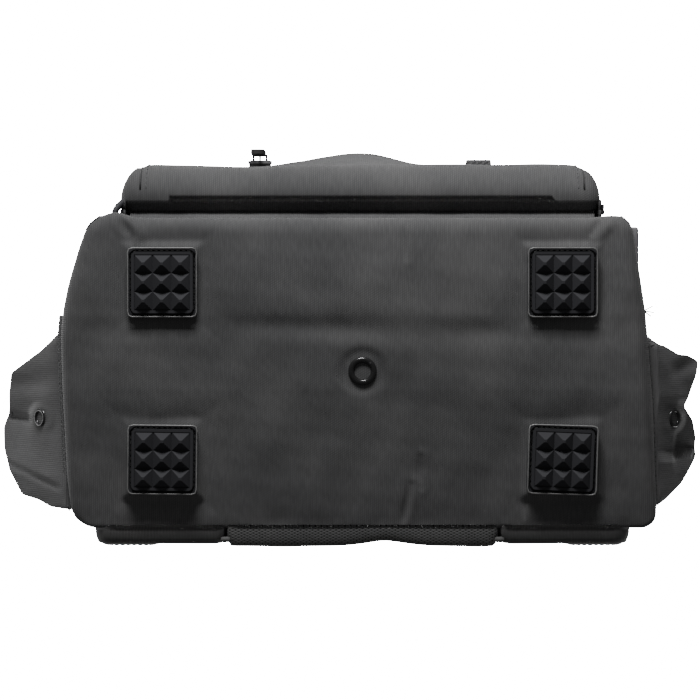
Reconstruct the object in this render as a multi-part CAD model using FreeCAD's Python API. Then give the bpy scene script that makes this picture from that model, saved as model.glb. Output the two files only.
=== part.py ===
import FreeCAD, Part

import math
import os

# Camera backpack standing on its four rubber feet: X across, -Y the front that opens, Z up.
# Sizes are millimetres. The floor is Z = 0, where the tips of the feet are.
# The pieces are drawn round the middle of the bottom panel, and the last step moves all of them
# together, so that the origin is the middle of the whole bag's footprint.

Vector = FreeCAD.Vector

# Overall sizes of the body
body_width = 320.0
front_set_in = 15.0
back_set_in = 8.0
body_depth = 166.0
body_height = 432.0
body_widest_y = -5.0
top_narrowing = 18.0
shoulder_radius = 60.0
side_bow = 3.5
side_curve_radius = 350.0
front_corner_radius = 8.0
back_corner_radius = 14.0

# Walls of the body
side_wall = 7.0
top_wall = 7.0
bottom_wall = 5.0
front_wall = 5.0
back_wall = 5.0
board_thickness = 1.6
lining_thickness = 3.4

# Clearances
soft_gap = 0.3
running_gap = 0.25

# Rubber feet
foot_width = 38.0
foot_height = 8.0
foot_corner_radius = 5.0
foot_flange = 1.6
foot_lip_width = 1.2
foot_lip_height = 0.8
foot_groove_width = 1.2
foot_frame_height = 3.0
foot_field = 30.0
foot_rows = 3
pyramid_height = 4.0
pyramid_flat = 1.4
feet_spacing_x = 216.0
feet_spacing_y = 95.6
foot_turns = {"front_left": 0.0, "front_right": 0.0, "back_left": 0.8, "back_right": 2.4}

# Drain eyelets
eyelet_bore_radius = 4.5
eyelet_barrel_wall = 0.7
eyelet_flange_radius = 7.7
eyelet_flange_height = 1.3
washer_thickness = 1.0
pocket_eyelet_scale = 0.67

# Front door and main zip
door_bottom = 36.0
door_thickness = 5.0
zip_setback = 12.0
zip_top_drop = 20.0
zip_tape = 1.5
zip_tape_width = 5.0
zip_teeth_height = 2.2
zip_teeth_width = 2.5
opening_margin = 12.0

# Sliders and pulls
slider_length = 14.0
slider_plate = 1.6
bridge_width = 2.0
bridge_bar = 1.1
bridge_half_length = 4.5
bridge_leg = 1.3
ring_radius = 2.45
ring_wire = 0.6
pull_width = 8.0
pull_length = 34.0
pull_thickness = 2.6
pull_corner_radius = 3.0
pull_cord = 1.8
pull_reach = 10.0
pull_drop = 8.0
slider_x = 8.0
pocket_slider_x = -60.0

# Front pocket
pocket_set_in = 14.0
pocket_bottom_lift = 1.0
pocket_top = 382.0
pocket_depth = 24.7
pocket_wall = 2.5
pocket_corner_cut = 19.0
pocket_zip_height = 150.0
pocket_zip_half_length = 95.0
pocket_slot_height = 8.0
pocket_bottom_radius = 16.0
pocket_shoulder_radius = 40.0
pocket_lower_radius = 10.0
pocket_edge_radii = [0, 0, 4.0, 9.0, 14.0, 14.0, 9.0, 4.0]
pocket_flat_edge = 5.0
front_tab_x = 65.0
front_tab_width = 14.0
front_tab_height = 12.0
front_tab_thickness = 3.0

# Side pockets
side_pocket_front = -22.0
side_pocket_back = 74.5
side_pocket_base = 15.0
side_pocket_top = 200.0
side_pocket_wall = 2.2
side_pocket_slope = 49.0
stand_out_left = 34.7
stand_out_right = 22.0
side_pocket_front_cut = 24.0
side_pocket_back_cut = 12.0
side_pocket_back_run = 21.6
side_pocket_crease_radius = 12.0
side_pocket_plan_radii = [0, 6.0, 10.0, 8.0, 8.0, 6.0, 0]
side_pocket_root = 25.0
binding_height = 10.0
binding_proud = 0.6

# Back padding and shoulder straps
back_pad_thickness = 11.0
back_pad_split = 74.0
back_pad_bottom = 14.0
back_pad_top = 418.0
back_pad_margin = 5.0
strap_thickness = 10.0
webbing_width = 25.0
webbing_thickness = 1.6
wing_thickness = 2.0
yoke_half_width = 80.0
yoke_top = 428.0
strap_top = 408.0
strap_bottom = 148.0
strap_bend_radius = 120.0
strap_top_radius = 6.0
strap_end_radius = 14.0
strap_outer_bends = [(124.0, 300.0), (114.0, 200.0)]
strap_inner_bends = [(62.0, 210.0), (62.0, 300.0)]
strap_top_x = (20.0, 74.0)
strap_end_x = (60.0, 100.0)
wing_bottom = 30.0
wing_outer_top = 74.0
wing_inner_top = 66.0
wing_inner_bottom_x = 112.0
wing_inner_top_x = 104.0
strap_webbing_foot = (124.0, 70.8)
lock_x = 80.0
lock_height = 27.0
lock_thickness = 6.0
lock_side = 3.5
lock_slot_height = 5.0
lock_slot_drops = (9.0, 22.0)
rail_thickness = 1.0
rail_half_length = 55.0
rail_width = 14.0

# Sternum strap
sternum_height = 300.0
sternum_webbing_width = 20.0
sternum_clip_x = 88.0
sternum_tail = 20.0
clip_half_length = 12.0
clip_border = 2.0
clip_thickness = 6.2
socket_length = 26.0
socket_end_x = 4.0
socket_width = 28.0
socket_thickness = 9.0
socket_wall = 1.6
tongue_bar_length = 12.0
prong_length = 17.0
prong_width = 5.0

# Grab handle
handle_y = 64.0
handle_half_width = 62.0
handle_rise = 50.0
handle_band = 20.0
handle_thickness = 4.0
handle_pivot_lift = 4.0
handle_taper = 12.0
handle_bend_radius = 26.0
handle_inner_taper = 10.0
handle_inner_radius = 8.0
handle_patch_depth = 12.0
grip_half_length = 30.0
grip_depth = 15.0
grip_thickness = 13.0
grip_overlap = 1.5
grip_corner_radius = 5.5

# Inside
divider_thickness = 6.0
divider_column_x = 50.0
divider_front_gap = 4.0
sleeve_thickness = 4.0
sleeve_gap = 20.0
sleeve_top = 330.0
divider_top = 390.0
cross_divider_heights = {"left": (140.0, 270.0), "middle": (175.0, 300.0), "right": (110.0, 250.0)}

# Widths and levels that follow from the sizes above
body_front_width = body_width - 2 * front_set_in
body_back_width = body_width - 2 * back_set_in
pocket_half_width = body_front_width / 2 - pocket_set_in
back_pad_half_width = body_back_width / 2 - back_pad_margin
base_z = foot_height
top_z = base_z + body_height
inside_floor = base_z + bottom_wall + board_thickness + lining_thickness
bridge_clear = ring_radius + ring_wire + running_gap - bridge_bar / 2
front_y = -body_depth / 2
back_y = body_depth / 2
zip_y = front_y - zip_tape_width - running_gap / 2
door_back_y = zip_y - running_gap / 2
door_front_y = door_back_y - door_thickness
pocket_front_y = door_front_y - pocket_depth
back_pad_y = back_y + back_pad_thickness
strap_y = back_pad_y + soft_gap
strap_face_y = strap_y + strap_thickness
far = 600.0

pieces = {}


def rounded_wire(points, radii, place):
    """Closed wire round a flat outline, with a tangent arc at each corner that has a radius."""
    corners = [Vector(u, v, 0) for u, v in points]
    edges = []
    first_point = None
    last_point = None
    for index, radius in enumerate(radii):
        corner = corners[index]
        back = (corners[index - 1] - corner).normalize()
        ahead = (corners[(index + 1) % len(corners)] - corner).normalize()
        half_angle = back.getAngle(ahead) / 2
        reach = radius / math.tan(half_angle)
        start = corner + back * reach
        end = corner + ahead * reach
        if last_point is not None and (start - last_point).Length > 1e-6:
            edges.append(Part.LineSegment(place(last_point), place(start)).toShape())
        if radius > 0:
            inward = (back + ahead).normalize()
            middle = corner + inward * (radius / math.sin(half_angle) - radius)
            edges.append(Part.Arc(place(start), place(middle), place(end)).toShape())
        if first_point is None:
            first_point = start
        last_point = end
    if (first_point - last_point).Length > 1e-6:
        edges.append(Part.LineSegment(place(last_point), place(first_point)).toShape())
    return Part.Wire(edges)


def prism_x(points, radii, x0, x1):
    """Solid with a (y, z) outline, from x0 to x1."""
    wire = rounded_wire(points, radii, lambda p: Vector(x0, p.x, p.y))
    return Part.Face(wire).extrude(Vector(x1 - x0, 0, 0))


def prism_y(points, radii, y0, y1):
    """Solid with an (x, z) outline, from y0 to y1."""
    wire = rounded_wire(points, radii, lambda p: Vector(p.x, y0, p.y))
    return Part.Face(wire).extrude(Vector(0, y1 - y0, 0))


def prism_z(points, radii, z0, z1):
    """Solid with an (x, y) outline, from z0 to z1."""
    wire = rounded_wire(points, radii, lambda p: Vector(p.x, p.y, z0))
    return Part.Face(wire).extrude(Vector(0, 0, z1 - z0))


def slab(x0, x1, y0, y1, z0, z1):
    """Box between two corners."""
    return Part.makeBox(x1 - x0, y1 - y0, z1 - z0, Vector(x0, y0, z0))


def rectangle(x0, x1, z0, z1):
    """Corner points of a rectangle, in order."""
    return [(x0, z0), (x1, z0), (x1, z1), (x0, z1)]


def mirrored(shape):
    """The same piece for the other side of the bag."""
    return shape.mirror(Vector(0, 0, 0), Vector(1, 0, 0))


def tube(outer_radius, inner_radius, z0, z1):
    """Ring round the Z axis."""
    outer = Part.makeCylinder(outer_radius, z1 - z0, Vector(0, 0, z0))
    inner = Part.makeCylinder(inner_radius, z1 - z0, Vector(0, 0, z0))
    return outer.cut(inner)


# ---------------------------------------------------------------- body shell

def narrowing_at(z):
    """How much nearer the middle a side is at this height than at the bottom."""
    return top_narrowing * (z - base_z) / body_height


def body_plan(z, side_inset, front_inset, back_inset):
    """Plan outline of the body at one height, drawn in from its outer faces."""
    drawn_in = narrowing_at(z) + side_inset
    front = body_front_width / 2 - drawn_in
    middle = body_width / 2 + side_bow - drawn_in
    back = body_back_width / 2 - drawn_in
    y0 = front_y + front_inset
    y1 = back_y - back_inset
    points = [(-front, y0), (front, y0), (middle, body_widest_y),
              (back, y1), (-back, y1), (-middle, body_widest_y)]
    front_radius = max(front_corner_radius - front_inset, 2.0)
    back_radius = max(back_corner_radius - back_inset, 2.0)
    radii = [front_radius, front_radius, side_curve_radius,
             back_radius, back_radius, side_curve_radius]
    return rounded_wire(points, radii, lambda p: Vector(p.x, p.y, z))


def shoulder_prism(z0, z1, inset, radius):
    """Solid as deep as the bag that only rounds its two top corners."""
    margin = 1.5
    low = body_width / 2 + margin - inset - narrowing_at(z0)
    high = body_width / 2 + margin - inset - narrowing_at(z1)
    points = [(-low, z0), (low, z0), (high, z1), (-high, z1)]
    return prism_y(points, [0, 0, radius, radius], -far, far)


def body_solid(z0, z1, side_inset, front_inset, back_inset):
    """The whole body, or the space inside it, as one solid."""
    wires = [body_plan(z, side_inset, front_inset, back_inset) for z in (z0, z1)]
    loft = Part.makeLoft(wires, True, True)
    return loft.common(shoulder_prism(z0, z1, side_inset, shoulder_radius - side_inset))


body_outer = body_solid(base_z, top_z, 0, 0, 0)
body_clear = body_solid(base_z - 1, top_z, -soft_gap / 2, 0, 0)
body_inner = body_solid(base_z + bottom_wall, top_z - top_wall, side_wall, front_wall, back_wall)


def door_arch(offset, bottom):
    """Arch outline that the main zip follows, moved out by offset."""
    top = top_z - zip_top_drop + offset
    low = body_front_width / 2 - zip_setback - narrowing_at(bottom) + offset
    high = body_front_width / 2 - zip_setback - narrowing_at(top) + offset
    radius = shoulder_radius - zip_setback + offset
    return [(-low, bottom), (low, bottom), (high, top), (-high, top)], [0, 0, radius, radius]


def arch_band(inner, outer, y0, y1):
    """Band along the arch between two offsets, open at the bottom."""
    points, radii = door_arch(outer, door_bottom)
    whole = prism_y(points, radii, y0, y1)
    points, radii = door_arch(inner, door_bottom - 20)
    return whole.cut(prism_y(points, radii, y0 - 1, y1 + 1))


def make_body_shell():
    """Bottom, sides, top, back and the front frame round the door's opening."""
    shell = body_outer.cut(body_inner)
    wall_floor = base_z + bottom_wall
    bottom = shell.common(slab(-far, far, -far, far, base_z - 1, wall_floor))
    above = shell.common(slab(-far, far, -far, far, wall_floor, far))
    inside_front = front_y + front_wall
    inside_back = back_y - back_wall
    shoulder_z = top_z - shoulder_radius
    front = above.common(slab(-far, far, -far, inside_front, 0, far))
    opening_points, opening_radii = door_arch(-opening_margin, door_bottom)
    front = front.cut(prism_y(opening_points, opening_radii, front_y - 1, inside_front + 1))
    back = above.common(slab(-far, far, inside_back, far, 0, far))
    ring = above.common(slab(-far, far, inside_front, inside_back, 0, far))
    pieces["bottom_panel"] = bottom.cut(drain_hole())
    pieces["front_frame"] = front
    pieces["back_panel"] = back
    pieces["top_panel"] = ring.common(slab(-far, far, -far, far, shoulder_z, far))
    lower = ring.common(slab(-far, far, -far, far, 0, shoulder_z))
    pieces["side_panel_left"] = lower.common(slab(-far, 0, -far, far, 0, far))
    pieces["side_panel_right"] = lower.common(slab(0, far, -far, far, 0, far))


def drain_hole():
    """Hole through the bottom for the eyelet's barrel."""
    radius = eyelet_bore_radius + eyelet_barrel_wall + running_gap
    return Part.makeCylinder(radius, far, Vector(0, 0, -10))


def make_boards_and_linings():
    """Stiffening boards and padded linings of the bottom and the back, and the laptop sleeve."""
    room = body_solid(base_z + bottom_wall, top_z - top_wall - soft_gap,
                      side_wall + soft_gap, front_wall, back_wall)
    board_floor = base_z + bottom_wall
    board_top = board_floor + board_thickness
    bottom_board = room.common(slab(-far, far, -far, far, board_floor, board_top))
    pieces["bottom_board"] = bottom_board.cut(drain_hole())
    bottom_lining = room.common(slab(-far, far, -far, far, board_top, inside_floor))
    pieces["bottom_lining"] = bottom_lining.cut(drain_hole())
    board_y = back_y - back_wall - board_thickness
    lining_y = board_y - lining_thickness
    pieces["back_board"] = room.common(slab(-far, far, board_y, far, inside_floor, far))
    pieces["back_lining"] = room.common(slab(-far, far, lining_y, board_y, inside_floor, far))
    sleeve_y = lining_y - sleeve_gap
    pieces["laptop_sleeve"] = room.common(
        slab(-far, far, sleeve_y - sleeve_thickness, sleeve_y, inside_floor, sleeve_top))
    return room, sleeve_y - sleeve_thickness


def make_dividers(room, back_limit):
    """Two upright padded dividers and the cross dividers between them and the sides."""
    y0 = front_y + divider_front_gap
    half = divider_thickness / 2
    columns = {
        "left": (-far, -divider_column_x - half),
        "middle": (-divider_column_x + half, divider_column_x - half),
        "right": (divider_column_x + half, far),
    }
    for side, x in (("left", -divider_column_x), ("right", divider_column_x)):
        upright = slab(x - half, x + half, y0, back_limit, inside_floor, divider_top)
        pieces["divider_upright_" + side] = room.common(upright)
    for column, (x0, x1) in columns.items():
        shelves = [slab(x0, x1, y0, back_limit, z, z + divider_thickness)
                   for z in cross_divider_heights[column]]
        pieces["dividers_" + column] = Part.makeCompound([room.common(s) for s in shelves])


# ---------------------------------------------------------------- feet and eyelets

def rounded_square(width, radius, z0, z1):
    """Upright prism with a rounded square outline."""
    half = width / 2
    return prism_z(rectangle(-half, half, -half, half), [radius] * 4, z0, z1)


def tooth_profile(root_z):
    """Points of a saw-tooth edge with flat tips at Z = 0, closed along root_z."""
    pitch = foot_field / foot_rows
    points = [(-foot_field / 2, root_z)]
    for row in range(foot_rows):
        start = -foot_field / 2 + row * pitch
        points.append((start, pyramid_height))
        points.append((start + (pitch - pyramid_flat) / 2, 0))
        points.append((start + (pitch + pyramid_flat) / 2, 0))
    points.append((foot_field / 2, pyramid_height))
    points.append((foot_field / 2, root_z))
    return points


def make_foot():
    """Moulded foot: flange with an outer lip and a stitched groove, raised frame, pyramids."""
    flange_z = foot_height - foot_flange
    frame_width = foot_width - 2 * (foot_lip_width + foot_groove_width)
    flange = rounded_square(foot_width, foot_corner_radius, flange_z, foot_height)
    lip_z = flange_z - foot_lip_height
    lip = rounded_square(foot_width, foot_corner_radius, lip_z, flange_z)
    inner_lip_radius = foot_corner_radius - foot_lip_width
    lip = lip.cut(rounded_square(foot_width - 2 * foot_lip_width, inner_lip_radius, lip_z, flange_z))
    frame_radius = inner_lip_radius - foot_groove_width
    frame = rounded_square(frame_width, frame_radius, flange_z - foot_frame_height, flange_z)
    half = foot_field / 2
    frame = frame.cut(slab(-half, half, -half, half, 0, flange_z))
    profile = tooth_profile(flange_z)
    flat = [0] * len(profile)
    pyramids = prism_y(profile, flat, -half, half).common(prism_x(profile, flat, -half, half))
    return flange.multiFuse([lip, frame, pyramids]).removeSplitter()


def make_feet():
    """The four feet, each sewn on by hand with its own small turn."""
    foot = make_foot()
    for row, y in (("front", -feet_spacing_y / 2), ("back", feet_spacing_y / 2)):
        for side, x in (("left", -feet_spacing_x / 2), ("right", feet_spacing_x / 2)):
            placed = foot.copy()
            placed.rotate(Vector(0, 0, 0), Vector(0, 0, 1), foot_turns[row + "_" + side])
            placed.translate(Vector(x, y, 0))
            pieces["foot_" + row + "_" + side] = placed


def make_eyelet(scale, grip):
    """Eyelet round the Z axis: domed flange below Z = 0, barrel up through a wall of thickness grip."""
    bore = eyelet_bore_radius * scale
    barrel = bore + eyelet_barrel_wall
    rim = eyelet_flange_radius * scale
    height = eyelet_flange_height * scale
    crown = Vector((bore + rim) / 2, 0, -height)
    edges = [
        Part.Arc(Vector(bore, 0, 0), crown, Vector(rim, 0, 0)).toShape(),
        Part.LineSegment(Vector(rim, 0, 0), Vector(barrel, 0, 0)).toShape(),
        Part.LineSegment(Vector(barrel, 0, 0), Vector(barrel, 0, grip)).toShape(),
        Part.LineSegment(Vector(barrel, 0, grip), Vector(bore, 0, grip)).toShape(),
        Part.LineSegment(Vector(bore, 0, grip), Vector(bore, 0, 0)).toShape(),
    ]
    return Part.Face(Part.Wire(edges)).revolve(Vector(0, 0, 0), Vector(0, 0, 1), 360)


def make_drain():
    """Eyelet and washer in the middle of the bottom."""
    grip = inside_floor - base_z + washer_thickness
    eyelet = make_eyelet(1.0, grip)
    eyelet.translate(Vector(0, 0, base_z))
    pieces["drain_eyelet"] = eyelet
    washer_bore = eyelet_bore_radius + eyelet_barrel_wall
    washer = tube(eyelet_flange_radius, washer_bore, inside_floor, inside_floor + washer_thickness)
    pieces["drain_washer"] = washer


# ---------------------------------------------------------------- side pockets

def side_pocket_solid(stand_out, inset, z_top):
    """Filled form of the right side pocket: sloping bottom, upright outer wall, cut corners."""
    root = body_width / 2 - side_pocket_root
    side = body_width / 2
    outer = side + stand_out - inset
    slope = math.tan(math.radians(side_pocket_slope))
    base = side_pocket_base + inset / math.cos(math.radians(side_pocket_slope))
    profile = [(root, base), (side, base), (outer, base + (outer - side) * slope),
               (outer, z_top), (root, z_top)]
    y0 = side_pocket_front + inset
    y1 = side_pocket_back - inset
    lengthwise = prism_y(profile, [0, 0, side_pocket_crease_radius, 0, 0], y0 - 1, y1 + 1)
    back_cut = side_pocket_back_cut
    plan = [(root, y0), (side, y0), (outer, y0 + side_pocket_front_cut),
            (outer, y1 - side_pocket_back_run), (outer - back_cut, y1 - back_cut / 2),
            (side, y1), (root, y1)]
    return lengthwise.common(prism_z(plan, side_pocket_plan_radii, 0, far))


def make_side_pocket(side, stand_out):
    """Open pocket sewn to the body's side and its elastic rim. Returns its drain eyelet."""
    shell = side_pocket_solid(stand_out, 0, side_pocket_top)
    shell = shell.cut(side_pocket_solid(stand_out, side_pocket_wall, side_pocket_top + 1))
    rim_top = side_pocket_top + binding_height
    rim = side_pocket_solid(stand_out, -binding_proud, rim_top)
    rim = rim.cut(side_pocket_solid(stand_out, side_pocket_wall + binding_proud, rim_top + 1))
    rim = rim.common(slab(-far, far, -far, far, side_pocket_top, rim_top))
    eyelet = make_eyelet(pocket_eyelet_scale, side_pocket_wall)
    eyelet.rotate(Vector(0, 0, 0), Vector(0, 1, 0), -side_pocket_slope)
    slope = math.radians(side_pocket_slope)
    x = body_width / 2 + stand_out / 2
    z = side_pocket_base + (stand_out / 2) * math.tan(slope)
    y = (side_pocket_front + side_pocket_back) / 2
    eyelet.translate(Vector(x, y, z))
    hole_radius = eyelet_bore_radius * pocket_eyelet_scale + eyelet_barrel_wall + running_gap
    along = Vector(math.sin(slope), 0, -math.cos(slope))
    start = Vector(x, y, z) - along * 8
    hole = Part.makeCylinder(hole_radius, 16, start, along)
    shell = shell.cut(hole).cut(body_clear)
    rim = rim.cut(body_clear)
    made = {"side_pocket_": shell, "pocket_binding_": rim}
    for name, shape in made.items():
        pieces[name + side] = mirrored(shape) if side == "left" else shape
    return mirrored(eyelet) if side == "left" else eyelet


# ---------------------------------------------------------------- door and front pocket

def make_door():
    """Door panel, the two halves of the main zip, and the sliders with their pulls."""
    points, radii = door_arch(-zip_tape, door_bottom)
    pieces["door_panel"] = prism_y(points, radii, door_front_y, door_back_y)
    tape_back_y = door_back_y - zip_tape_width
    door_tape = arch_band(-zip_tape, 0, tape_back_y, door_back_y)
    door_teeth = arch_band(0, zip_teeth_height, door_back_y - zip_teeth_width, door_back_y)
    pieces["main_zip_door"] = door_tape.fuse(door_teeth).removeSplitter()
    body_tape_y = zip_y + running_gap / 2
    body_tape = arch_band(-zip_tape, 0, body_tape_y, front_y)
    body_teeth = arch_band(0, zip_teeth_height, body_tape_y, body_tape_y + zip_teeth_width)
    pieces["main_zip_body"] = body_tape.fuse(body_teeth).removeSplitter()
    teeth_top = top_z - zip_top_drop + zip_teeth_height
    for side, x in (("left", -slider_x), ("right", slider_x)):
        slider, pull = make_main_slider(teeth_top)
        slider.translate(Vector(x, zip_y, 0))
        pull.translate(Vector(x, zip_y, 0))
        pieces["main_slider_" + side] = slider
        pieces["main_pull_" + side] = pull


def make_bridge(z):
    """Arch on a slider's plate that the pull's ring goes through. Its bar lies along X."""
    half = bridge_half_length
    inner = half - bridge_leg
    top = z + bridge_clear + bridge_bar
    block = slab(-half, half, -bridge_width / 2, bridge_width / 2, z, top)
    window = slab(-inner, inner, -bridge_width, bridge_width, z, z + bridge_clear)
    return block.cut(window), z + bridge_clear + bridge_bar / 2


def make_ring(z):
    """Wire ring round the bridge's bar, in the YZ plane."""
    return Part.makeTorus(ring_radius, ring_wire, Vector(0, 0, z), Vector(1, 0, 0))


def make_main_slider(teeth_top):
    """Slider that rides on the top stretch of the main zip, and its cord pull with a moulded end."""
    plate_z = teeth_top + running_gap
    half_width = zip_teeth_width + 2.0
    plate = slab(-slider_length / 2, slider_length / 2, -half_width, half_width,
                 plate_z, plate_z + slider_plate)
    flange_y = -zip_teeth_width - running_gap
    flange = slab(-slider_length / 2, slider_length / 2, -half_width, flange_y,
                  teeth_top - zip_teeth_height + running_gap, plate_z)
    bridge, bar_z = make_bridge(plate_z + slider_plate)
    slider = plate.multiFuse([flange, bridge]).removeSplitter()
    half_cord = pull_cord / 2
    half_pull = pull_width / 2
    tab_top = bar_z - pull_drop
    stem_y = -pull_reach - 1.0
    arm = slab(-half_cord, half_cord, -pull_reach, -ring_radius, bar_z - ring_wire, bar_z + ring_wire)
    stem = slab(-half_cord, half_cord, stem_y, stem_y + pull_cord, tab_top - 2, bar_z + ring_wire)
    tab_y = stem_y + half_cord - pull_thickness / 2
    tab = prism_y(rectangle(-half_pull, half_pull, tab_top - pull_length, tab_top),
                  [pull_corner_radius] * 4, tab_y, tab_y + pull_thickness)
    pull = make_ring(bar_z).multiFuse([arm, stem, tab]).removeSplitter()
    return slider, pull


def pocket_form(inset):
    """Filled form of the front pocket, drawn in by inset from its outer faces."""
    y_back = door_front_y
    y_front = pocket_front_y + inset
    half = pocket_half_width - inset
    cut = pocket_corner_cut
    edge_y = y_back - pocket_flat_edge
    plan = [(-half + 2, y_back), (half - 2, y_back), (half, edge_y),
            (half - cut / 4, y_front + cut / 2), (half - cut, y_front), (-half + cut, y_front),
            (-half + cut / 4, y_front + cut / 2), (-half, edge_y)]
    bottom = door_bottom + pocket_bottom_lift + inset
    top = pocket_top - inset
    upright = prism_z(plan, pocket_edge_radii, bottom, top)
    low = half + 1
    high = half + 1 - narrowing_at(top)
    face = [(-low, bottom), (low, bottom), (high, top), (-high, top)]
    radius = pocket_shoulder_radius - inset
    lower = pocket_lower_radius
    upright = upright.common(prism_y(face, [lower, lower, radius, radius], -far, far))
    side = [(y_back, bottom), (y_front, bottom), (y_front, top), (y_back, top)]
    radius = pocket_bottom_radius - inset
    return upright.common(prism_x(side, [0, radius, radius, 0], -far, far))


def make_front_pocket():
    """Front pocket with its zip, slider, pull and the small webbing tab."""
    shell = pocket_form(0).cut(pocket_form(pocket_wall))
    half_slot = pocket_slot_height / 2
    z0 = pocket_zip_height - half_slot
    z1 = pocket_zip_height + half_slot
    slot = slab(-pocket_zip_half_length, pocket_zip_half_length, pocket_front_y - 5,
                pocket_front_y + pocket_wall + 1, z0, z1)
    pieces["front_pocket"] = shell.cut(slot)
    zip_strip = slab(-pocket_zip_half_length, pocket_zip_half_length, pocket_front_y,
                     pocket_front_y + zip_tape, z0, z1)
    teeth = slab(-pocket_zip_half_length, pocket_zip_half_length,
                 pocket_front_y - zip_teeth_height / 2, pocket_front_y,
                 pocket_zip_height - zip_teeth_width, pocket_zip_height + zip_teeth_width)
    pieces["pocket_zip"] = zip_strip.fuse(teeth)
    face_y = pocket_front_y - zip_teeth_height / 2 - running_gap
    half_width = zip_teeth_width + 2.0
    plate = slab(-slider_length / 2, slider_length / 2, -half_width, half_width, 0, slider_plate)
    bridge, bar_z = make_bridge(slider_plate)
    slider = plate.fuse(bridge).removeSplitter()
    half_cord = pull_cord / 2
    half_pull = pull_width / 2
    tab_top = -ring_radius - pull_drop
    tab_z = bar_z - pull_thickness / 2
    stem = slab(-half_cord, half_cord, tab_top - 1, -ring_radius, bar_z - ring_wire, bar_z + ring_wire)
    tab = prism_z(rectangle(-half_pull, half_pull, tab_top - pull_length, tab_top),
                  [pull_corner_radius] * 4, tab_z, tab_z + pull_thickness)
    pull = make_ring(bar_z).multiFuse([stem, tab]).removeSplitter()
    for name, shape in (("pocket_slider", slider), ("pocket_pull", pull)):
        shape.rotate(Vector(0, 0, 0), Vector(1, 0, 0), 90)
        shape.translate(Vector(pocket_slider_x, face_y, pocket_zip_height))
        pieces[name] = shape
    tab_bottom = door_bottom + pocket_bottom_radius + 4
    tab_face = pocket_front_y - front_tab_thickness
    half_tab = front_tab_width / 2
    outline = rectangle(tab_face, pocket_front_y, tab_bottom, tab_bottom + front_tab_height)
    pieces["front_tab"] = prism_x(outline, [1.2, 0, 0, 1.2], front_tab_x - half_tab, front_tab_x + half_tab)


# ---------------------------------------------------------------- back and straps

def make_back_pads():
    """Mesh centre pad and the two smoother side pads of the back."""
    split = back_pad_split
    center = prism_y(rectangle(-split, split, back_pad_bottom, back_pad_top), [6] * 4, back_y, back_pad_y)
    pieces["back_pad_center"] = center
    low = back_pad_half_width
    high = back_pad_half_width - narrowing_at(back_pad_top)
    points = [(split + soft_gap, back_pad_bottom), (low, back_pad_bottom),
              (high, back_pad_top), (split + soft_gap, back_pad_top)]
    pad = prism_y(points, [6, 10, shoulder_radius - 12, 6], back_y, back_pad_y)
    pieces["back_pad_right"] = pad
    pieces["back_pad_left"] = mirrored(pad)


def make_shoulder_strap(side):
    """Padded strap, rail for the chest strap, ladder lock, webbing and its wing, on one side."""
    inner_top_x, outer_top_x = strap_top_x
    inner_end_x, outer_end_x = strap_end_x
    strap_points = [(outer_top_x, strap_top), *strap_outer_bends, (outer_end_x, strap_bottom),
                    (inner_end_x, strap_bottom), *strap_inner_bends, (inner_top_x, strap_top)]
    bends = [strap_bend_radius] * 2
    ends = [strap_end_radius] * 2
    strap = prism_y(strap_points, [strap_top_radius, *bends, *ends, *bends, strap_top_radius],
                    strap_y, strap_face_y)
    rail_half = rail_width / 2
    rail = prism_y(rectangle(sternum_clip_x - rail_half, sternum_clip_x + rail_half,
                             sternum_height - rail_half_length, sternum_height + rail_half_length),
                   [1.5] * 4, strap_face_y, strap_face_y + rail_thickness)
    lock_half = webbing_width / 2 + lock_side
    lock_bottom = strap_bottom - lock_height
    lock = prism_y(rectangle(lock_x - lock_half, lock_x + lock_half, lock_bottom, strap_bottom),
                   [4] * 4, strap_y, strap_y + lock_thickness)
    slot_half = webbing_width / 2 + 0.5
    for drop in lock_slot_drops:
        z = strap_bottom - drop
        lock = lock.cut(slab(lock_x - slot_half, lock_x + slot_half, strap_y - 1,
                             strap_y + lock_thickness + 1, z, z + lock_slot_height))
    wing_x = back_pad_half_width - 4
    wing_points = [(wing_inner_bottom_x, wing_bottom), (wing_x, wing_bottom),
                   (wing_x, wing_outer_top), (wing_inner_top_x, wing_inner_top)]
    wing = prism_y(wing_points, [5, 5, 8, 5], back_pad_y, back_pad_y + wing_thickness)
    level = lock_bottom - soft_gap
    run_end = Vector(lock_x, 0, level)
    run_start = Vector(strap_webbing_foot[0], 0, strap_webbing_foot[1])
    along = (run_end - run_start).normalize()
    across = Vector(along.z, 0, -along.x) * (webbing_width / 2)
    foot_left = run_start - across
    foot_right = run_start + across
    points = [(foot_left.x, foot_left.z), (foot_right.x, foot_right.z),
              (lock_x + webbing_width / 2, level), (lock_x - webbing_width / 2, level)]
    webbing = prism_y(points, [0] * 4, strap_y, strap_y + webbing_thickness)
    webbing = webbing.cut(wing)
    made = {"shoulder_strap_": strap, "ladder_lock_": lock, "strap_wing_": wing,
            "strap_webbing_": webbing}
    for name, shape in made.items():
        pieces[name + side] = mirrored(shape) if side == "left" else shape
    pieces["sternum_rails"] = Part.makeCompound([rail, mirrored(rail)])


def make_yoke():
    """Patch at the top of the back that both shoulder straps are sewn under."""
    yoke = prism_y(rectangle(-yoke_half_width, yoke_half_width, strap_top, yoke_top), [0, 0, 8, 8],
                   back_y, strap_y + strap_thickness / 2)
    for pad in ("back_pad_center", "back_pad_left", "back_pad_right"):
        yoke = yoke.cut(pieces[pad])
    pieces["strap_yoke"] = yoke


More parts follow.
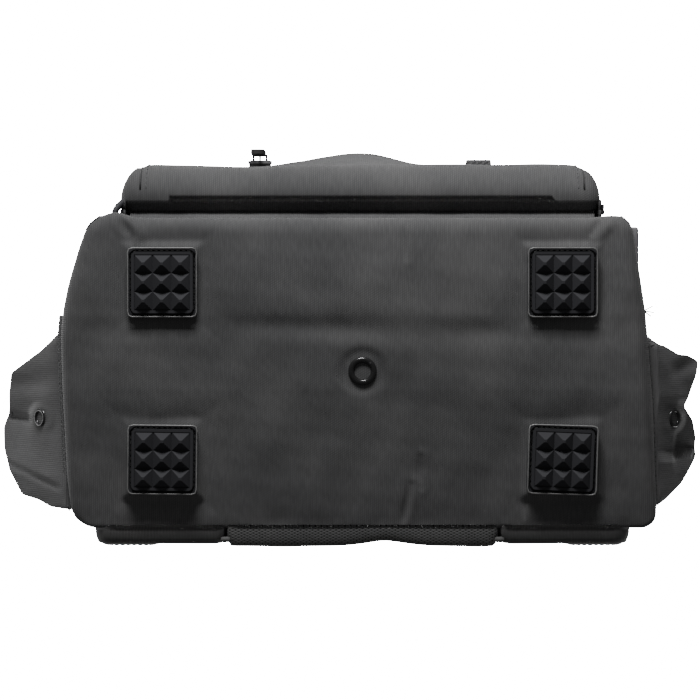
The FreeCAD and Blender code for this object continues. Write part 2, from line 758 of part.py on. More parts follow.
def make_sternum_strap():
    """Chest strap: a clip and webbing on each side, joined by a side-release buckle."""
    clip_y = strap_face_y + rail_thickness + running_gap
    clip_half = sternum_webbing_width / 2 + clip_border
    z = sternum_height
    web_half = sternum_webbing_width / 2
    web_y = clip_y + (clip_thickness - webbing_thickness) / 2
    webbing_y = (web_y, web_y + webbing_thickness)
    middle_y = web_y + webbing_thickness / 2
    clip_x0 = sternum_clip_x - clip_half_length
    clip_x1 = sternum_clip_x + clip_half_length
    clip = prism_y(rectangle(clip_x0, clip_x1, z - clip_half, z + clip_half),
                   [3] * 4, clip_y, clip_y + clip_thickness)
    socket_x1 = socket_end_x
    socket_x0 = socket_x1 - socket_length
    left_web = slab(-clip_x0, socket_x0, *webbing_y, z - web_half, z + web_half)
    left_clip = mirrored(clip)
    pieces["sternum_strap_left"] = left_clip.fuse(left_web).removeSplitter()
    tongue_x1 = socket_x1 + running_gap + tongue_bar_length
    pieces["sternum_strap_right"] = slab(tongue_x1 - tongue_bar_length / 2, sternum_clip_x + sternum_tail,
                                         *webbing_y, z - web_half, z + web_half)
    channel = slab(0, far, web_y - soft_gap, web_y + webbing_thickness + soft_gap,
                   z - web_half - soft_gap, z + web_half + soft_gap)
    pieces["sternum_clip_right"] = clip.cut(channel)
    half_y = socket_thickness / 2
    half_z = socket_width / 2
    buckle_outline = rectangle(middle_y - half_y, middle_y + half_y, z - half_z, z + half_z)
    socket = prism_x(buckle_outline, [2.5] * 4, socket_x0, socket_x1)
    cavity_y = half_y - socket_wall
    cavity_z = half_z - socket_wall
    cavity = slab(socket_x0 + 5, socket_x1 + 1, middle_y - cavity_y, middle_y + cavity_y,
                  z - cavity_z, z + cavity_z)
    windows = slab(socket_x0 + 8, socket_x1 - 7, middle_y - cavity_y, middle_y + cavity_y,
                   z - half_z - 1, z + half_z + 1)
    pieces["buckle_socket"] = socket.cut(cavity).cut(windows)
    bar_x0 = socket_x1 + running_gap
    bar = prism_x(buckle_outline, [2.5] * 4, bar_x0, bar_x0 + tongue_bar_length)
    web_slot = slab(bar_x0 + 3, bar_x0 + tongue_bar_length + 1,
                    web_y - running_gap * 2, web_y + webbing_thickness + running_gap * 2,
                    z - web_half - running_gap * 2, z + web_half + running_gap * 2)
    prong_y = cavity_y - running_gap
    prongs = []
    for low, high in ((-cavity_z + running_gap, -cavity_z + prong_width),
                      (-prong_width / 2, prong_width / 2),
                      (cavity_z - prong_width, cavity_z - running_gap)):
        prongs.append(slab(bar_x0 - prong_length, bar_x0 + 1, middle_y - prong_y, middle_y + prong_y,
                           z + low, z + high))
    pieces["buckle_tongue"] = bar.cut(web_slot).multiFuse(prongs).removeSplitter()


def arch_prism(half, low, high, taper, radius, y0, y1):
    """Arch-shaped solid, open side down, whose top is narrower by taper on each side."""
    points = [(-half, low), (half, low), (half - taper, high), (-half + taper, high)]
    return prism_y(points, [0, 0, radius, radius], y0, y1)


def make_handle():
    """Grab handle of webbing with a padded grip, and the patches it is sewn to."""
    half = handle_thickness / 2
    band = arch_prism(handle_half_width, top_z + handle_pivot_lift, top_z + handle_rise, handle_taper,
                      handle_bend_radius, handle_y - half, handle_y + half)
    inner_half = handle_half_width - handle_band
    band = band.cut(arch_prism(inner_half, top_z - 10, top_z + handle_rise - grip_depth,
                               handle_inner_taper, handle_inner_radius, -far, far))
    grip_z = top_z + handle_rise - grip_depth / 2
    grip_half = grip_depth / 2 + grip_overlap
    half_grip = grip_thickness / 2
    grip = prism_x(rectangle(handle_y - half_grip, handle_y + half_grip,
                             grip_z - grip_half, grip_z + grip_half),
                   [grip_corner_radius] * 4, -grip_half_length, grip_half_length)
    pivot = Vector(inner_half, handle_y, top_z + handle_pivot_lift)
    end = Part.makeCylinder(half, handle_band, pivot, Vector(1, 0, 0))
    band = band.multiFuse([end, mirrored(end)]).removeSplitter()
    pieces["grab_handle"] = band
    pieces["handle_grip"] = grip.cut(band)
    patch_top = top_z + handle_pivot_lift - half - soft_gap
    half_patch = handle_patch_depth / 2
    patch = slab(inner_half, handle_half_width, handle_y - half_patch, handle_y + half_patch,
                 top_z, patch_top)
    pieces["handle_anchors"] = Part.makeCompound([patch, mirrored(patch)])


make_body_shell()
divider_room, divider_back = make_boards_and_linings()
make_dividers(divider_room, divider_back - soft_gap)
make_feet()
make_drain()
pocket_eyelets = [make_side_pocket("left", stand_out_left),
                  make_side_pocket("right", stand_out_right)]
pieces["pocket_eyelets"] = Part.makeCompound(pocket_eyelets)
make_door()
make_front_pocket()
make_back_pads()
make_shoulder_strap("left")
make_shoulder_strap("right")
make_yoke()
make_sternum_strap()
make_handle()

# The footprint's middle becomes the origin.
whole = FreeCAD.BoundBox()
for piece_shape in pieces.values():
    whole.add(piece_shape.optimalBoundingBox(False, False))
shift = Vector(-whole.Center.x, -whole.Center.y, -whole.ZMin)

os.makedirs("parts", exist_ok=True)
for piece_name, piece_shape in pieces.items():
    moved = piece_shape.copy()
    moved.translate(shift)
    moved.exportStep("parts/" + piece_name + ".step")
    print(piece_name, len(moved.Solids), "solids", round(moved.Volume), "mm3", moved.isValid())
print("shift", [round(v, 3) for v in shift], "size", round(whole.XLength, 1), round(whole.YLength, 1),
      round(whole.ZLength, 1))
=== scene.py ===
import sys
import logging
import math
from dataclasses import dataclass
from enum import Enum
from typing import Any, Callable, Optional, Sequence

import bpy
import numpy as np
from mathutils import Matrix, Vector


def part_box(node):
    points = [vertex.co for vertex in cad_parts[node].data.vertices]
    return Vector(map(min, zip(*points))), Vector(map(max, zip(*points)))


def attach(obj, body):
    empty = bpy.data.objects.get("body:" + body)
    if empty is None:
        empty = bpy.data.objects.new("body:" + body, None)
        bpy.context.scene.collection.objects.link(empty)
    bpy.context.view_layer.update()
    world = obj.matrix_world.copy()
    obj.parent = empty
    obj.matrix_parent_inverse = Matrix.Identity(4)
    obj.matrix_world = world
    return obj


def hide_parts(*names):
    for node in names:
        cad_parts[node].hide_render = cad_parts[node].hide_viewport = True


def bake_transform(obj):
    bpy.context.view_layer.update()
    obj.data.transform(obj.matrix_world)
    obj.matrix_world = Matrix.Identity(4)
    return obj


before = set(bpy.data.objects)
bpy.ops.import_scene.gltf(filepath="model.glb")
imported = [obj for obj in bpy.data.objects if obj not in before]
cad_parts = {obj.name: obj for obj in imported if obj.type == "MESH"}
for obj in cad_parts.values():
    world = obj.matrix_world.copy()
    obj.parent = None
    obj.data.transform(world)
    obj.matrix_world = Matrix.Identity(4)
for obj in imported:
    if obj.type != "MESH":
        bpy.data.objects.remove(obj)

# Camera backpack on four rubber feet. Lengths in the classes below are millimetres, measured
# from the middle of the bottom panel: X to the right seen from the front, +Y to the padded back, Z up.

MM = 0.001
LOG = logging.getLogger("camera_backpack")
Array = np.ndarray
Colour = tuple[float, float, float]
Mesh = tuple[Array, list]
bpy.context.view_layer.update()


def find_origin() -> Array:
    """Row-frame place of the bottom panel's middle on the floor, in millimetres."""
    low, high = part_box("bottom_panel")
    return np.array([(low.x + high.x) / 2, (low.y + high.y) / 2, 0.0]) / MM


ORIGIN = find_origin()


def span(node: str) -> tuple[Array, Array]:
    """Lowest and highest corners of a frame node.

    Args:
        node: Name of the node.

    Returns:
        Two points in millimetres, in the bag's own coordinates.
    """
    low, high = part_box(node)
    return np.array(low) / MM - ORIGIN, np.array(high) / MM - ORIGIN


# ------------------------------------------------------------------ numbers and curves

def smooth(low: float, high: float, value: Array) -> Array:
    """Smooth step from 0 at low to 1 at high."""
    t = np.clip((np.asarray(value, float) - low) / (high - low), 0.0, 1.0)
    return t * t * (3.0 - 2.0 * t)


def hump(value: Array, centre: float, width: float) -> Array:
    """Bell curve of height 1 round a centre."""
    return np.exp(-((np.asarray(value, float) - centre) / width) ** 2)


def ripple(u: Array, v: Array, wavelength: float, seed: int, waves: int = 9) -> Array:
    """Seeded smooth unevenness made of crossing waves.

    Args:
        u: First coordinate.
        v: Second coordinate.
        wavelength: Typical distance between crests.
        seed: Seed of the random directions and phases.
        waves: Number of waves that are added up.

    Returns:
        Values of about -1 to 1.
    """
    draw = np.random.RandomState(seed)
    total = np.zeros(np.broadcast(u, v).shape)
    for _ in range(waves):
        angle = draw.uniform(0, math.pi)
        length = wavelength * draw.uniform(0.65, 1.6)
        phase = draw.uniform(0, 2 * math.pi)
        total += np.sin((u * math.cos(angle) + v * math.sin(angle)) * 2 * math.pi / length + phase)
    return total / math.sqrt(waves) / 1.4


def curve_through(knots: Sequence[tuple[float, float]], at: Array, softness: float) -> Array:
    """Value of a line through knots, rounded off at its corners.

    Args:
        knots: Pairs of place and value, in order of place.
        at: Places to read.
        softness: Length over which corners are rounded.

    Returns:
        The values.
    """
    places, values = np.array(knots, float).T
    table = np.linspace(places[0] - softness, places[-1] + softness, 600)
    line = np.interp(table, places, values)
    below = table < places[0]
    above = table > places[-1]
    line[below] = values[0] + (table[below] - places[0]) * (values[1] - values[0]) / (places[1] - places[0])
    line[above] = values[-1] + (table[above] - places[-1]) * (values[-1] - values[-2]) / (places[-1]
                                                                                          - places[-2])
    count = max(3, int(softness / (table[1] - table[0])))
    kernel = np.hanning(count + 2)[1:-1]
    padded = np.pad(line, count, mode="reflect", reflect_type="odd")
    line = np.convolve(padded, kernel / kernel.sum(), mode="same")[count:-count]
    return np.interp(at, table, line)


def unit(vectors: Array) -> Array:
    """Vectors scaled to length one."""
    return vectors / np.maximum(np.linalg.norm(vectors, axis=-1, keepdims=True), 1e-9)


def resample(path: Array, spacing: float, *carried: Array) -> list[Array]:
    """A path, and arrays that go with it, at even steps.

    Args:
        path: Points along the path.
        spacing: Wanted distance between points.
        carried: Arrays with one row for each point.

    Returns:
        The even points, then each carried array at those points.
    """
    lengths = np.concatenate([[0], np.cumsum(np.linalg.norm(np.diff(path, axis=0), axis=1))])
    steps = np.linspace(0, lengths[-1], max(2, int(round(lengths[-1] / spacing)) + 1))
    return [np.stack([np.interp(steps, lengths, rows[:, k]) for k in range(rows.shape[1])], 1)
            for rows in (path, *carried)]


def round_polygon(corners: Sequence[tuple[float, float]], radii: Sequence[float],
                  spacing: float = 3.0) -> Array:
    """Closed outline with rounded corners, at even steps.

    Args:
        corners: Corner points, in order.
        radii: Rounding of each corner.
        spacing: Distance between the points of the result.

    Returns:
        Points of the outline, without a repeated last one.
    """
    points = []
    places = np.array(corners, float)
    for index, radius in enumerate(radii):
        corner = places[index]
        back = unit(places[index - 1] - corner)
        ahead = unit(places[(index + 1) % len(places)] - corner)
        half = math.acos(float(np.clip(back @ ahead, -1, 1))) / 2
        reach = max(radius, 0.3) / math.tan(half)
        start, end = corner + back * reach, corner + ahead * reach
        for t in np.linspace(0, 1, 9):
            points.append((1 - t) ** 2 * start + 2 * t * (1 - t) * corner + t ** 2 * end)
    points.append(points[0])
    return resample(np.array(points), spacing)[0][:-1]


def edge_distance(points: Array, outline: Array) -> Array:
    """Distance of points to the nearest side of a closed outline.

    Args:
        points: Rows of two coordinates.
        outline: Corners of the outline.

    Returns:
        One distance for each point.
    """
    starts, ends = outline, np.roll(outline, -1, axis=0)
    best = np.full(len(points), 1e9)
    for start, end in zip(starts, ends):
        along = end - start
        t = np.clip(((points - start) @ along) / max(along @ along, 1e-9), 0, 1)
        best = np.minimum(best, np.linalg.norm(points - start - t[:, None] * along, axis=1))
    return best


def round_edge(distance: Array, radius: float) -> Array:
    """Share of the full thickness at a distance from a quarter-round edge."""
    t = 1 - np.clip(distance / radius, 0, 1)
    return np.sqrt(np.maximum(1 - t * t, 0))


# ------------------------------------------------------------------ meshes

def grid_faces(rows: int, columns: int, wrap: bool = False) -> list:
    """Faces of a grid of points, row by row; wrap joins the last column to the first."""
    faces = []
    for row in range(rows - 1):
        for column in range(columns if wrap else columns - 1):
            right = (column + 1) % columns
            faces.append((row * columns + column, (row + 1) * columns + column,
                          (row + 1) * columns + right, row * columns + right))
    return faces


def grid_normals(grid: Array) -> Array:
    """Unit normals of a grid of points."""
    return unit(np.cross(np.gradient(grid, axis=0), np.gradient(grid, axis=1)))


def thick_sheet(grid: Array, thickness: float, centre: Array) -> Mesh:
    """Closed shell from a grid that is its outer face.

    Args:
        grid: Points of the outer face, rows by columns.
        thickness: Distance to the inner face.
        centre: A point on the inner side.

    Returns:
        Points and faces. The first half of the grid faces are the outer ones.
    """
    normals = grid_normals(grid)
    if np.sum(normals * (grid - centre)) < 0:
        grid = grid[:, ::-1]
        normals = grid_normals(grid)
    rows, columns = grid.shape[:2]
    points = np.concatenate([grid.reshape(-1, 3), (grid - normals * thickness).reshape(-1, 3)])
    count = rows * columns
    outer = grid_faces(rows, columns)
    inner = [tuple(count + i for i in face[::-1]) for face in outer]
    border = [c for c in range(columns)]
    border += [r * columns + columns - 1 for r in range(1, rows)]
    border += [(rows - 1) * columns + c for c in range(columns - 2, -1, -1)]
    border += [r * columns for r in range(rows - 2, 0, -1)]
    rim = []
    for index, first in enumerate(border):
        second = border[(index + 1) % len(border)]
        rim.append((first, second, second + count, first + count))
    return points, outer + inner + rim


def pillow(outline: Array, rise: Callable, drop: Callable, place: Callable, edge_radius: float,
           step: float = 4.0) -> Mesh:
    """Closed cushion over an outline.

    Args:
        outline: Closed outline in the cushion's own plane.
        rise: Height of the upper face from edge distance, u and v.
        drop: Height of the lower face from the same.
        place: Turns u, v and height into points in space.
        edge_radius: Width of the rounded edge, where rings lie closer.
        step: Distance between rings away from the edge.

    Returns:
        Points and faces.
    """
    centre = (outline.min(0) + outline.max(0)) / 2
    reach = float(np.min(np.linalg.norm(outline - centre, axis=1)))
    near = edge_radius * (1 - np.cos(np.linspace(0, math.pi / 2, 12)))
    far = np.arange(edge_radius + step, reach - step * 0.5, step)
    factors = 1 - np.concatenate([near, far]) / reach
    rings = centre + (outline - centre)[None] * factors[:, None, None]
    flat = np.concatenate([rings.reshape(-1, 2), centre[None]])
    distance = edge_distance(flat, outline)
    distance[:len(outline)] = 0
    upper = place(flat[:, 0], flat[:, 1], rise(distance, flat[:, 0], flat[:, 1]))
    lower = place(flat[:, 0], flat[:, 1], drop(distance, flat[:, 0], flat[:, 1]))
    ring_count, around = rings.shape[:2]
    total = len(flat)
    faces = grid_faces(ring_count, around, wrap=True)
    last = (ring_count - 1) * around
    fan = [(last + i, total - 1, last + (i + 1) % around) for i in range(around)]
    below = [tuple(total + i for i in face[::-1]) for face in faces + fan]
    side = [(i, (i + 1) % around, total + (i + 1) % around, total + i) for i in range(around)]
    mesh = np.concatenate([upper, lower]), faces + fan + below + side
    return outward(mesh)


def outward(mesh: Mesh) -> Mesh:
    """The same closed mesh with its faces turned outwards."""
    points, faces = mesh
    volume = 0.0
    for face in faces:
        a = points[face[0]]
        for k in range(1, len(face) - 1):
            volume += float(np.dot(a, np.cross(points[face[k]], points[face[k + 1]])))
    return (points, faces) if volume > 0 else (points, [face[::-1] for face in faces])


def block(low: Array, high: Array, radius: float, step: float = 5.0) -> Mesh:
    """Rounded box, evenly divided so that it can be shaped further.

    Args:
        low: Lowest corner.
        high: Highest corner.
        radius: Rounding of all edges.
        step: Distance between points on the flats.

    Returns:
        Points and faces.
    """
    low, high = np.array(low, float), np.array(high, float)
    radius = min(radius, float((high - low).min()) / 2 - 0.01)
    near = radius - radius * np.tan(np.radians([45, 30, 15, 0]))
    lines = []
    for a, b in zip(low, high):
        inner = np.linspace(a + radius, b - radius, max(2, int((b - a - 2 * radius) / step) + 1))
        lines.append(np.concatenate([a + near, inner[1:-1], (b - near)[::-1]]))
    points: list = []
    faces: list = []
    index: dict = {}
    for axis in range(3):
        u, v = (axis + 1) % 3, (axis + 2) % 3
        for side, value in ((0, low[axis]), (1, high[axis])):
            ids = np.zeros((len(lines[u]), len(lines[v])), int)
            for i, a in enumerate(lines[u]):
                for j, b in enumerate(lines[v]):
                    spot = np.zeros(3)
                    spot[axis], spot[u], spot[v] = value, a, b
                    key = tuple(np.round(spot, 5))
                    if key not in index:
                        index[key] = len(points)
                        points.append(spot)
                    ids[i, j] = index[key]
            for i in range(len(lines[u]) - 1):
                for j in range(len(lines[v]) - 1):
                    face = (ids[i, j], ids[i + 1, j], ids[i + 1, j + 1], ids[i, j + 1])
                    faces.append(face if side else face[::-1])
    solid = np.array(points)
    core = np.clip(solid, low + radius, high - radius)
    return core + unit(solid - core) * radius, faces


def round_section(radius: float, sides: int = 8) -> Array:
    """Round cross-section for a sweep."""
    angles = np.linspace(0, 2 * math.pi, sides, endpoint=False)
    return np.stack([np.cos(angles), np.sin(angles)], 1) * radius


def flat_section(width: float, thickness: float) -> Array:
    """Flat cross-section with rounded edges: across, then up."""
    half, lift = width / 2, thickness / 2
    shoulder = min(lift, half) * 0.6
    return np.array([(-half, 0), (-half + shoulder * 0.4, -lift * 0.8), (-half + shoulder * 1.5, -lift),
                     (0, -lift),
                     (half - shoulder * 1.5, -lift), (half - shoulder * 0.4, -lift * 0.8), (half, 0),
                     (half - shoulder * 0.4, lift * 0.8), (half - shoulder * 1.5, lift), (0, lift),
                     (-half + shoulder * 1.5, lift), (-half + shoulder * 0.4, lift * 0.8)])


def path_axes(path: Array, normals: Array) -> tuple[Array, Array, Array]:
    """Directions along a path, across it, and away from what it lies on."""
    along = unit(np.gradient(path, axis=0))
    across = unit(np.cross(along, normals))
    return along, across, np.cross(across, along)


def sweep(path: Array, normals: Array, section: Array, closed: bool = False,
          scale: Optional[Array] = None) -> Mesh:
    """Tube or band along a path.

    Args:
        path: Points of the middle line.
        normals: Direction that the band's face looks, one for each point.
        section: Cross-section, across and up.
        closed: Whether the path's end meets its start.
        scale: Size of the section at each point.

    Returns:
        Points and faces.
    """
    if closed:
        looped = np.concatenate([path[-1:], path, path[:1]])
        around = np.concatenate([normals[-1:], normals, normals[:1]])
        _, across, up = (part[1:-1] for part in path_axes(looped, around))
    else:
        _, across, up = path_axes(path, normals)
    size = np.ones(len(path)) if scale is None else scale
    rings = (path[:, None] + across[:, None] * section[:, 0][None, :, None] * size[:, None, None]
             + up[:, None] * section[:, 1][None, :, None] * size[:, None, None])
    count = len(section)
    rows = len(path)
    faces = grid_faces(rows, count, wrap=True)
    if closed:
        last = (rows - 1) * count
        faces += [(last + i, i, (i + 1) % count, last + (i + 1) % count) for i in range(count)]
    else:
        faces.append(tuple(range(count)))
        faces.append(tuple((rows - 1) * count + i for i in reversed(range(count))))
    return outward((rings.reshape(-1, 3), faces))


def capsule(length: float, radius: float, sides: int = 6) -> Mesh:
    """Short rounded rod along X, such as one stitch."""
    angles = np.linspace(0, 2 * math.pi, sides, endpoint=False)
    points = [(-length / 2, 0.0, 0.0)]
    for x, size in ((-length / 2 + radius * 0.45, 0.8), (-length / 2 + radius * 1.3, 1.0),
                    (length / 2 - radius * 1.3, 1.0), (length / 2 - radius * 0.45, 0.8)):
        points += [(x, math.cos(a) * radius * size, math.sin(a) * radius * size) for a in angles]
    points.append((length / 2, 0.0, 0.0))
    faces = [(0, 1 + (i + 1) % sides, 1 + i) for i in range(sides)]
    faces += [tuple(1 + i for i in face) for face in grid_faces(4, sides, wrap=True)]
    last, base = len(points) - 1, 1 + 3 * sides
    faces += [(last, base + i, base + (i + 1) % sides) for i in range(sides)]
    return outward((np.array(points), faces))


def stamp(shape: Mesh, places: Array, along: Array, across: Array, up: Array) -> Mesh:
    """Copies of a small shape, one at each place.

    Args:
        shape: The shape, drawn along X, across Y and up Z.
        places: Where the copies go.
        along: X direction of each copy.
        across: Y direction of each copy.
        up: Z direction of each copy.

    Returns:
        All copies as one mesh.
    """
    points, faces = shape
    axes = np.stack([along, across, up], 1)
    copies = places[:, None] + np.einsum("mk,nkj->nmj", points, axes)
    size = len(points)
    joined = [tuple(n * size + i for i in face) for n in range(len(places)) for face in faces]
    return copies.reshape(-1, 3), joined


def merge(meshes: Sequence[Mesh]) -> Mesh:
    """Several meshes as one."""
    points, faces, offset = [], [], 0
    for part_points, part_faces in meshes:
        points.append(part_points)
        faces += [tuple(offset + i for i in face) for face in part_faces]
        offset += len(part_points)
    return np.concatenate(points), faces


def add_piece(name: str, mesh: Mesh, finish: "Finish", body: str = "bag", stands_for: Sequence[str] = (),
              inner: Optional["Finish"] = None, outer_faces: int = 0, flat: bool = False) -> bpy.types.Object:
    """Makes an object of a mesh, dresses it and hands it to its body.

    Args:
        name: Name of the piece.
        mesh: Points in millimetres, and faces.
        finish: Finish of the piece.
        body: Body that it moves with.
        stands_for: Frame nodes that it is shown in place of.
        inner: Finish of the faces after the first outer_faces.
        outer_faces: Number of faces that keep the main finish when inner is given.
        flat: Whether faces are shaded flat.

    Returns:
        The object.
    """
    points, faces = mesh
    data = bpy.data.meshes.new(name)
    data.from_pydata(((points + ORIGIN) * MM).tolist(), [], faces)
    data.polygons.foreach_set("use_smooth", [not flat] * len(faces))
    data.materials.append(finish.material())
    if inner is not None:
        data.materials.append(inner.material())
        data.polygons.foreach_set("material_index", [int(i >= outer_faces) for i in range(len(faces))])
    piece = bpy.data.objects.new(name, data)
    bpy.context.scene.collection.objects.link(piece)
    if body:
        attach(piece, body)
    if stands_for:
        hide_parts(*stands_for)
    LOG.info("%s: %d points on %s", name, len(points), body or "two bodies")
    return piece


def add_stitches(name: str, rows: Sequence[tuple[Array, Array]], finish: "Finish", body: str = "bag",
                 pitch: float = 3.2, length: float = 2.5, radius: float = 0.32) -> bpy.types.Object:
    """Rows of stitches as one piece.

    Args:
        name: Name of the piece.
        rows: For each row its path and the normals of the cloth below it.
        finish: Thread finish.
        body: Body that the stitches move with.
        pitch: Distance from one stitch to the next.
        length: Length of one stitch.
        radius: Radius of the thread.

    Returns:
        The object.
    """
    made = []
    for path, normals in rows:
        places, facing = resample(path, pitch, normals)
        places, facing = (places[:-1] + places[1:]) / 2, unit((facing[:-1] + facing[1:]) / 2)
        if len(places) < 3:
            continue
        along, across, up = path_axes(places, facing)
        made.append(stamp(capsule(length, radius), places + up * radius * 0.35, along, across, up))
    return add_piece(name, merge(made), finish, body)


def across_line(start: Sequence[float], end: Sequence[float], normal: Sequence[float],
                count: int = 40) -> tuple[Array, Array]:
    """Straight path between two points, with the same normal all along."""
    t = np.linspace(0, 1, count)[:, None]
    path = np.array(start, float) * (1 - t) + np.array(end, float) * t
    return path, np.repeat(np.array([normal], float), count, 0)


def curve_points(start: tuple, end: tuple, bow: float, count: int) -> Array:
    """Points of a short bowed line.

    Args:
        start: First point.
        end: Last point.
        bow: How far its middle hangs down.
        count: Number of points.

    Returns:
        The points.
    """
    t = np.linspace(0, 1, count)[:, None]
    return np.array(start) * (1 - t) + np.array(end) * t - [0, 0, bow] * np.sin(math.pi * t)


# ------------------------------------------------------------------ finishes

class Slot(Enum):
    """Material slot names that each finish carries; nothing in this script reads them."""

    SHELL = "shell_fabric"
    FOOT = "foot_rubber"
    EYELET = "eyelet_metal"
    LINING = "lining_fabric"
    BOARD = "board_plastic"
    BINDING = "binding_elastic"
    MESH = "back_mesh"
    BACK = "back_fabric"
    WEBBING = "webbing"
    BUCKLE = "buckle_plastic"
    COIL = "zip_coil"
    SLIDER = "slider_metal"
    PULL = "pull_plastic"


class Wiring:
    """Short calls for making nodes and links in one node tree."""

    def __init__(self, tree: bpy.types.NodeTree) -> None:
        """Keeps the tree.

        Args:
            tree: Node tree to add to.
        """
        self.tree = tree

    def feed(self, socket: bpy.types.NodeSocket, value: Any) -> None:
        """Links a socket to another, or sets its constant."""
        if isinstance(value, bpy.types.NodeSocket):
            self.tree.links.new(value, socket)
        else:
            socket.default_value = value

    def node(self, kind: str, **inputs: Any) -> bpy.types.Node:
        """Adds a node and feeds its inputs by name, with _ for spaces."""
        made = self.tree.nodes.new(kind)
        for name, value in inputs.items():
            self.feed(made.inputs[name.replace("_", " ")], value)
        return made

    def math(self, operation: str, *values: Any) -> bpy.types.NodeSocket:
        """Adds a Math node and returns its value."""
        made = self.tree.nodes.new("ShaderNodeMath")
        made.operation = operation
        for socket, value in zip(made.inputs, values):
            self.feed(socket, value)
        return made.outputs[0]

    def mix(self, factor: Any, first: Any, second: Any) -> bpy.types.NodeSocket:
        """Blends two numbers."""
        made = self.tree.nodes.new("ShaderNodeMix")
        for index, value in ((0, factor), (2, first), (3, second)):
            self.feed(made.inputs[index], value)
        return made.outputs[0]

    def tint(self, factor: Any, first: Any, second: Any) -> bpy.types.NodeSocket:
        """Blends two colours."""
        made = self.tree.nodes.new("ShaderNodeMix")
        made.data_type = "RGBA"
        for index, value in ((0, factor), (6, first), (7, second)):
            self.feed(made.inputs[index], value)
        return made.outputs[2]

    def noise(self, vector: Any, scale: float, detail: float = 2.0) -> bpy.types.NodeSocket:
        """Noise value of about 0 to 1."""
        made = self.node("ShaderNodeTexNoise", Vector=vector, Scale=scale, Detail=detail)
        return made.outputs[0]

    def step(self, value: Any, low: float, high: float) -> bpy.types.NodeSocket:
        """Value moved from the range low to high into 0 to 1, with soft ends."""
        made = self.tree.nodes.new("ShaderNodeMapRange")
        made.interpolation_type = "SMOOTHSTEP"
        for index, item in enumerate((value, low, high, 0.0, 1.0)):
            self.feed(made.inputs[index], item)
        return made.outputs[0]


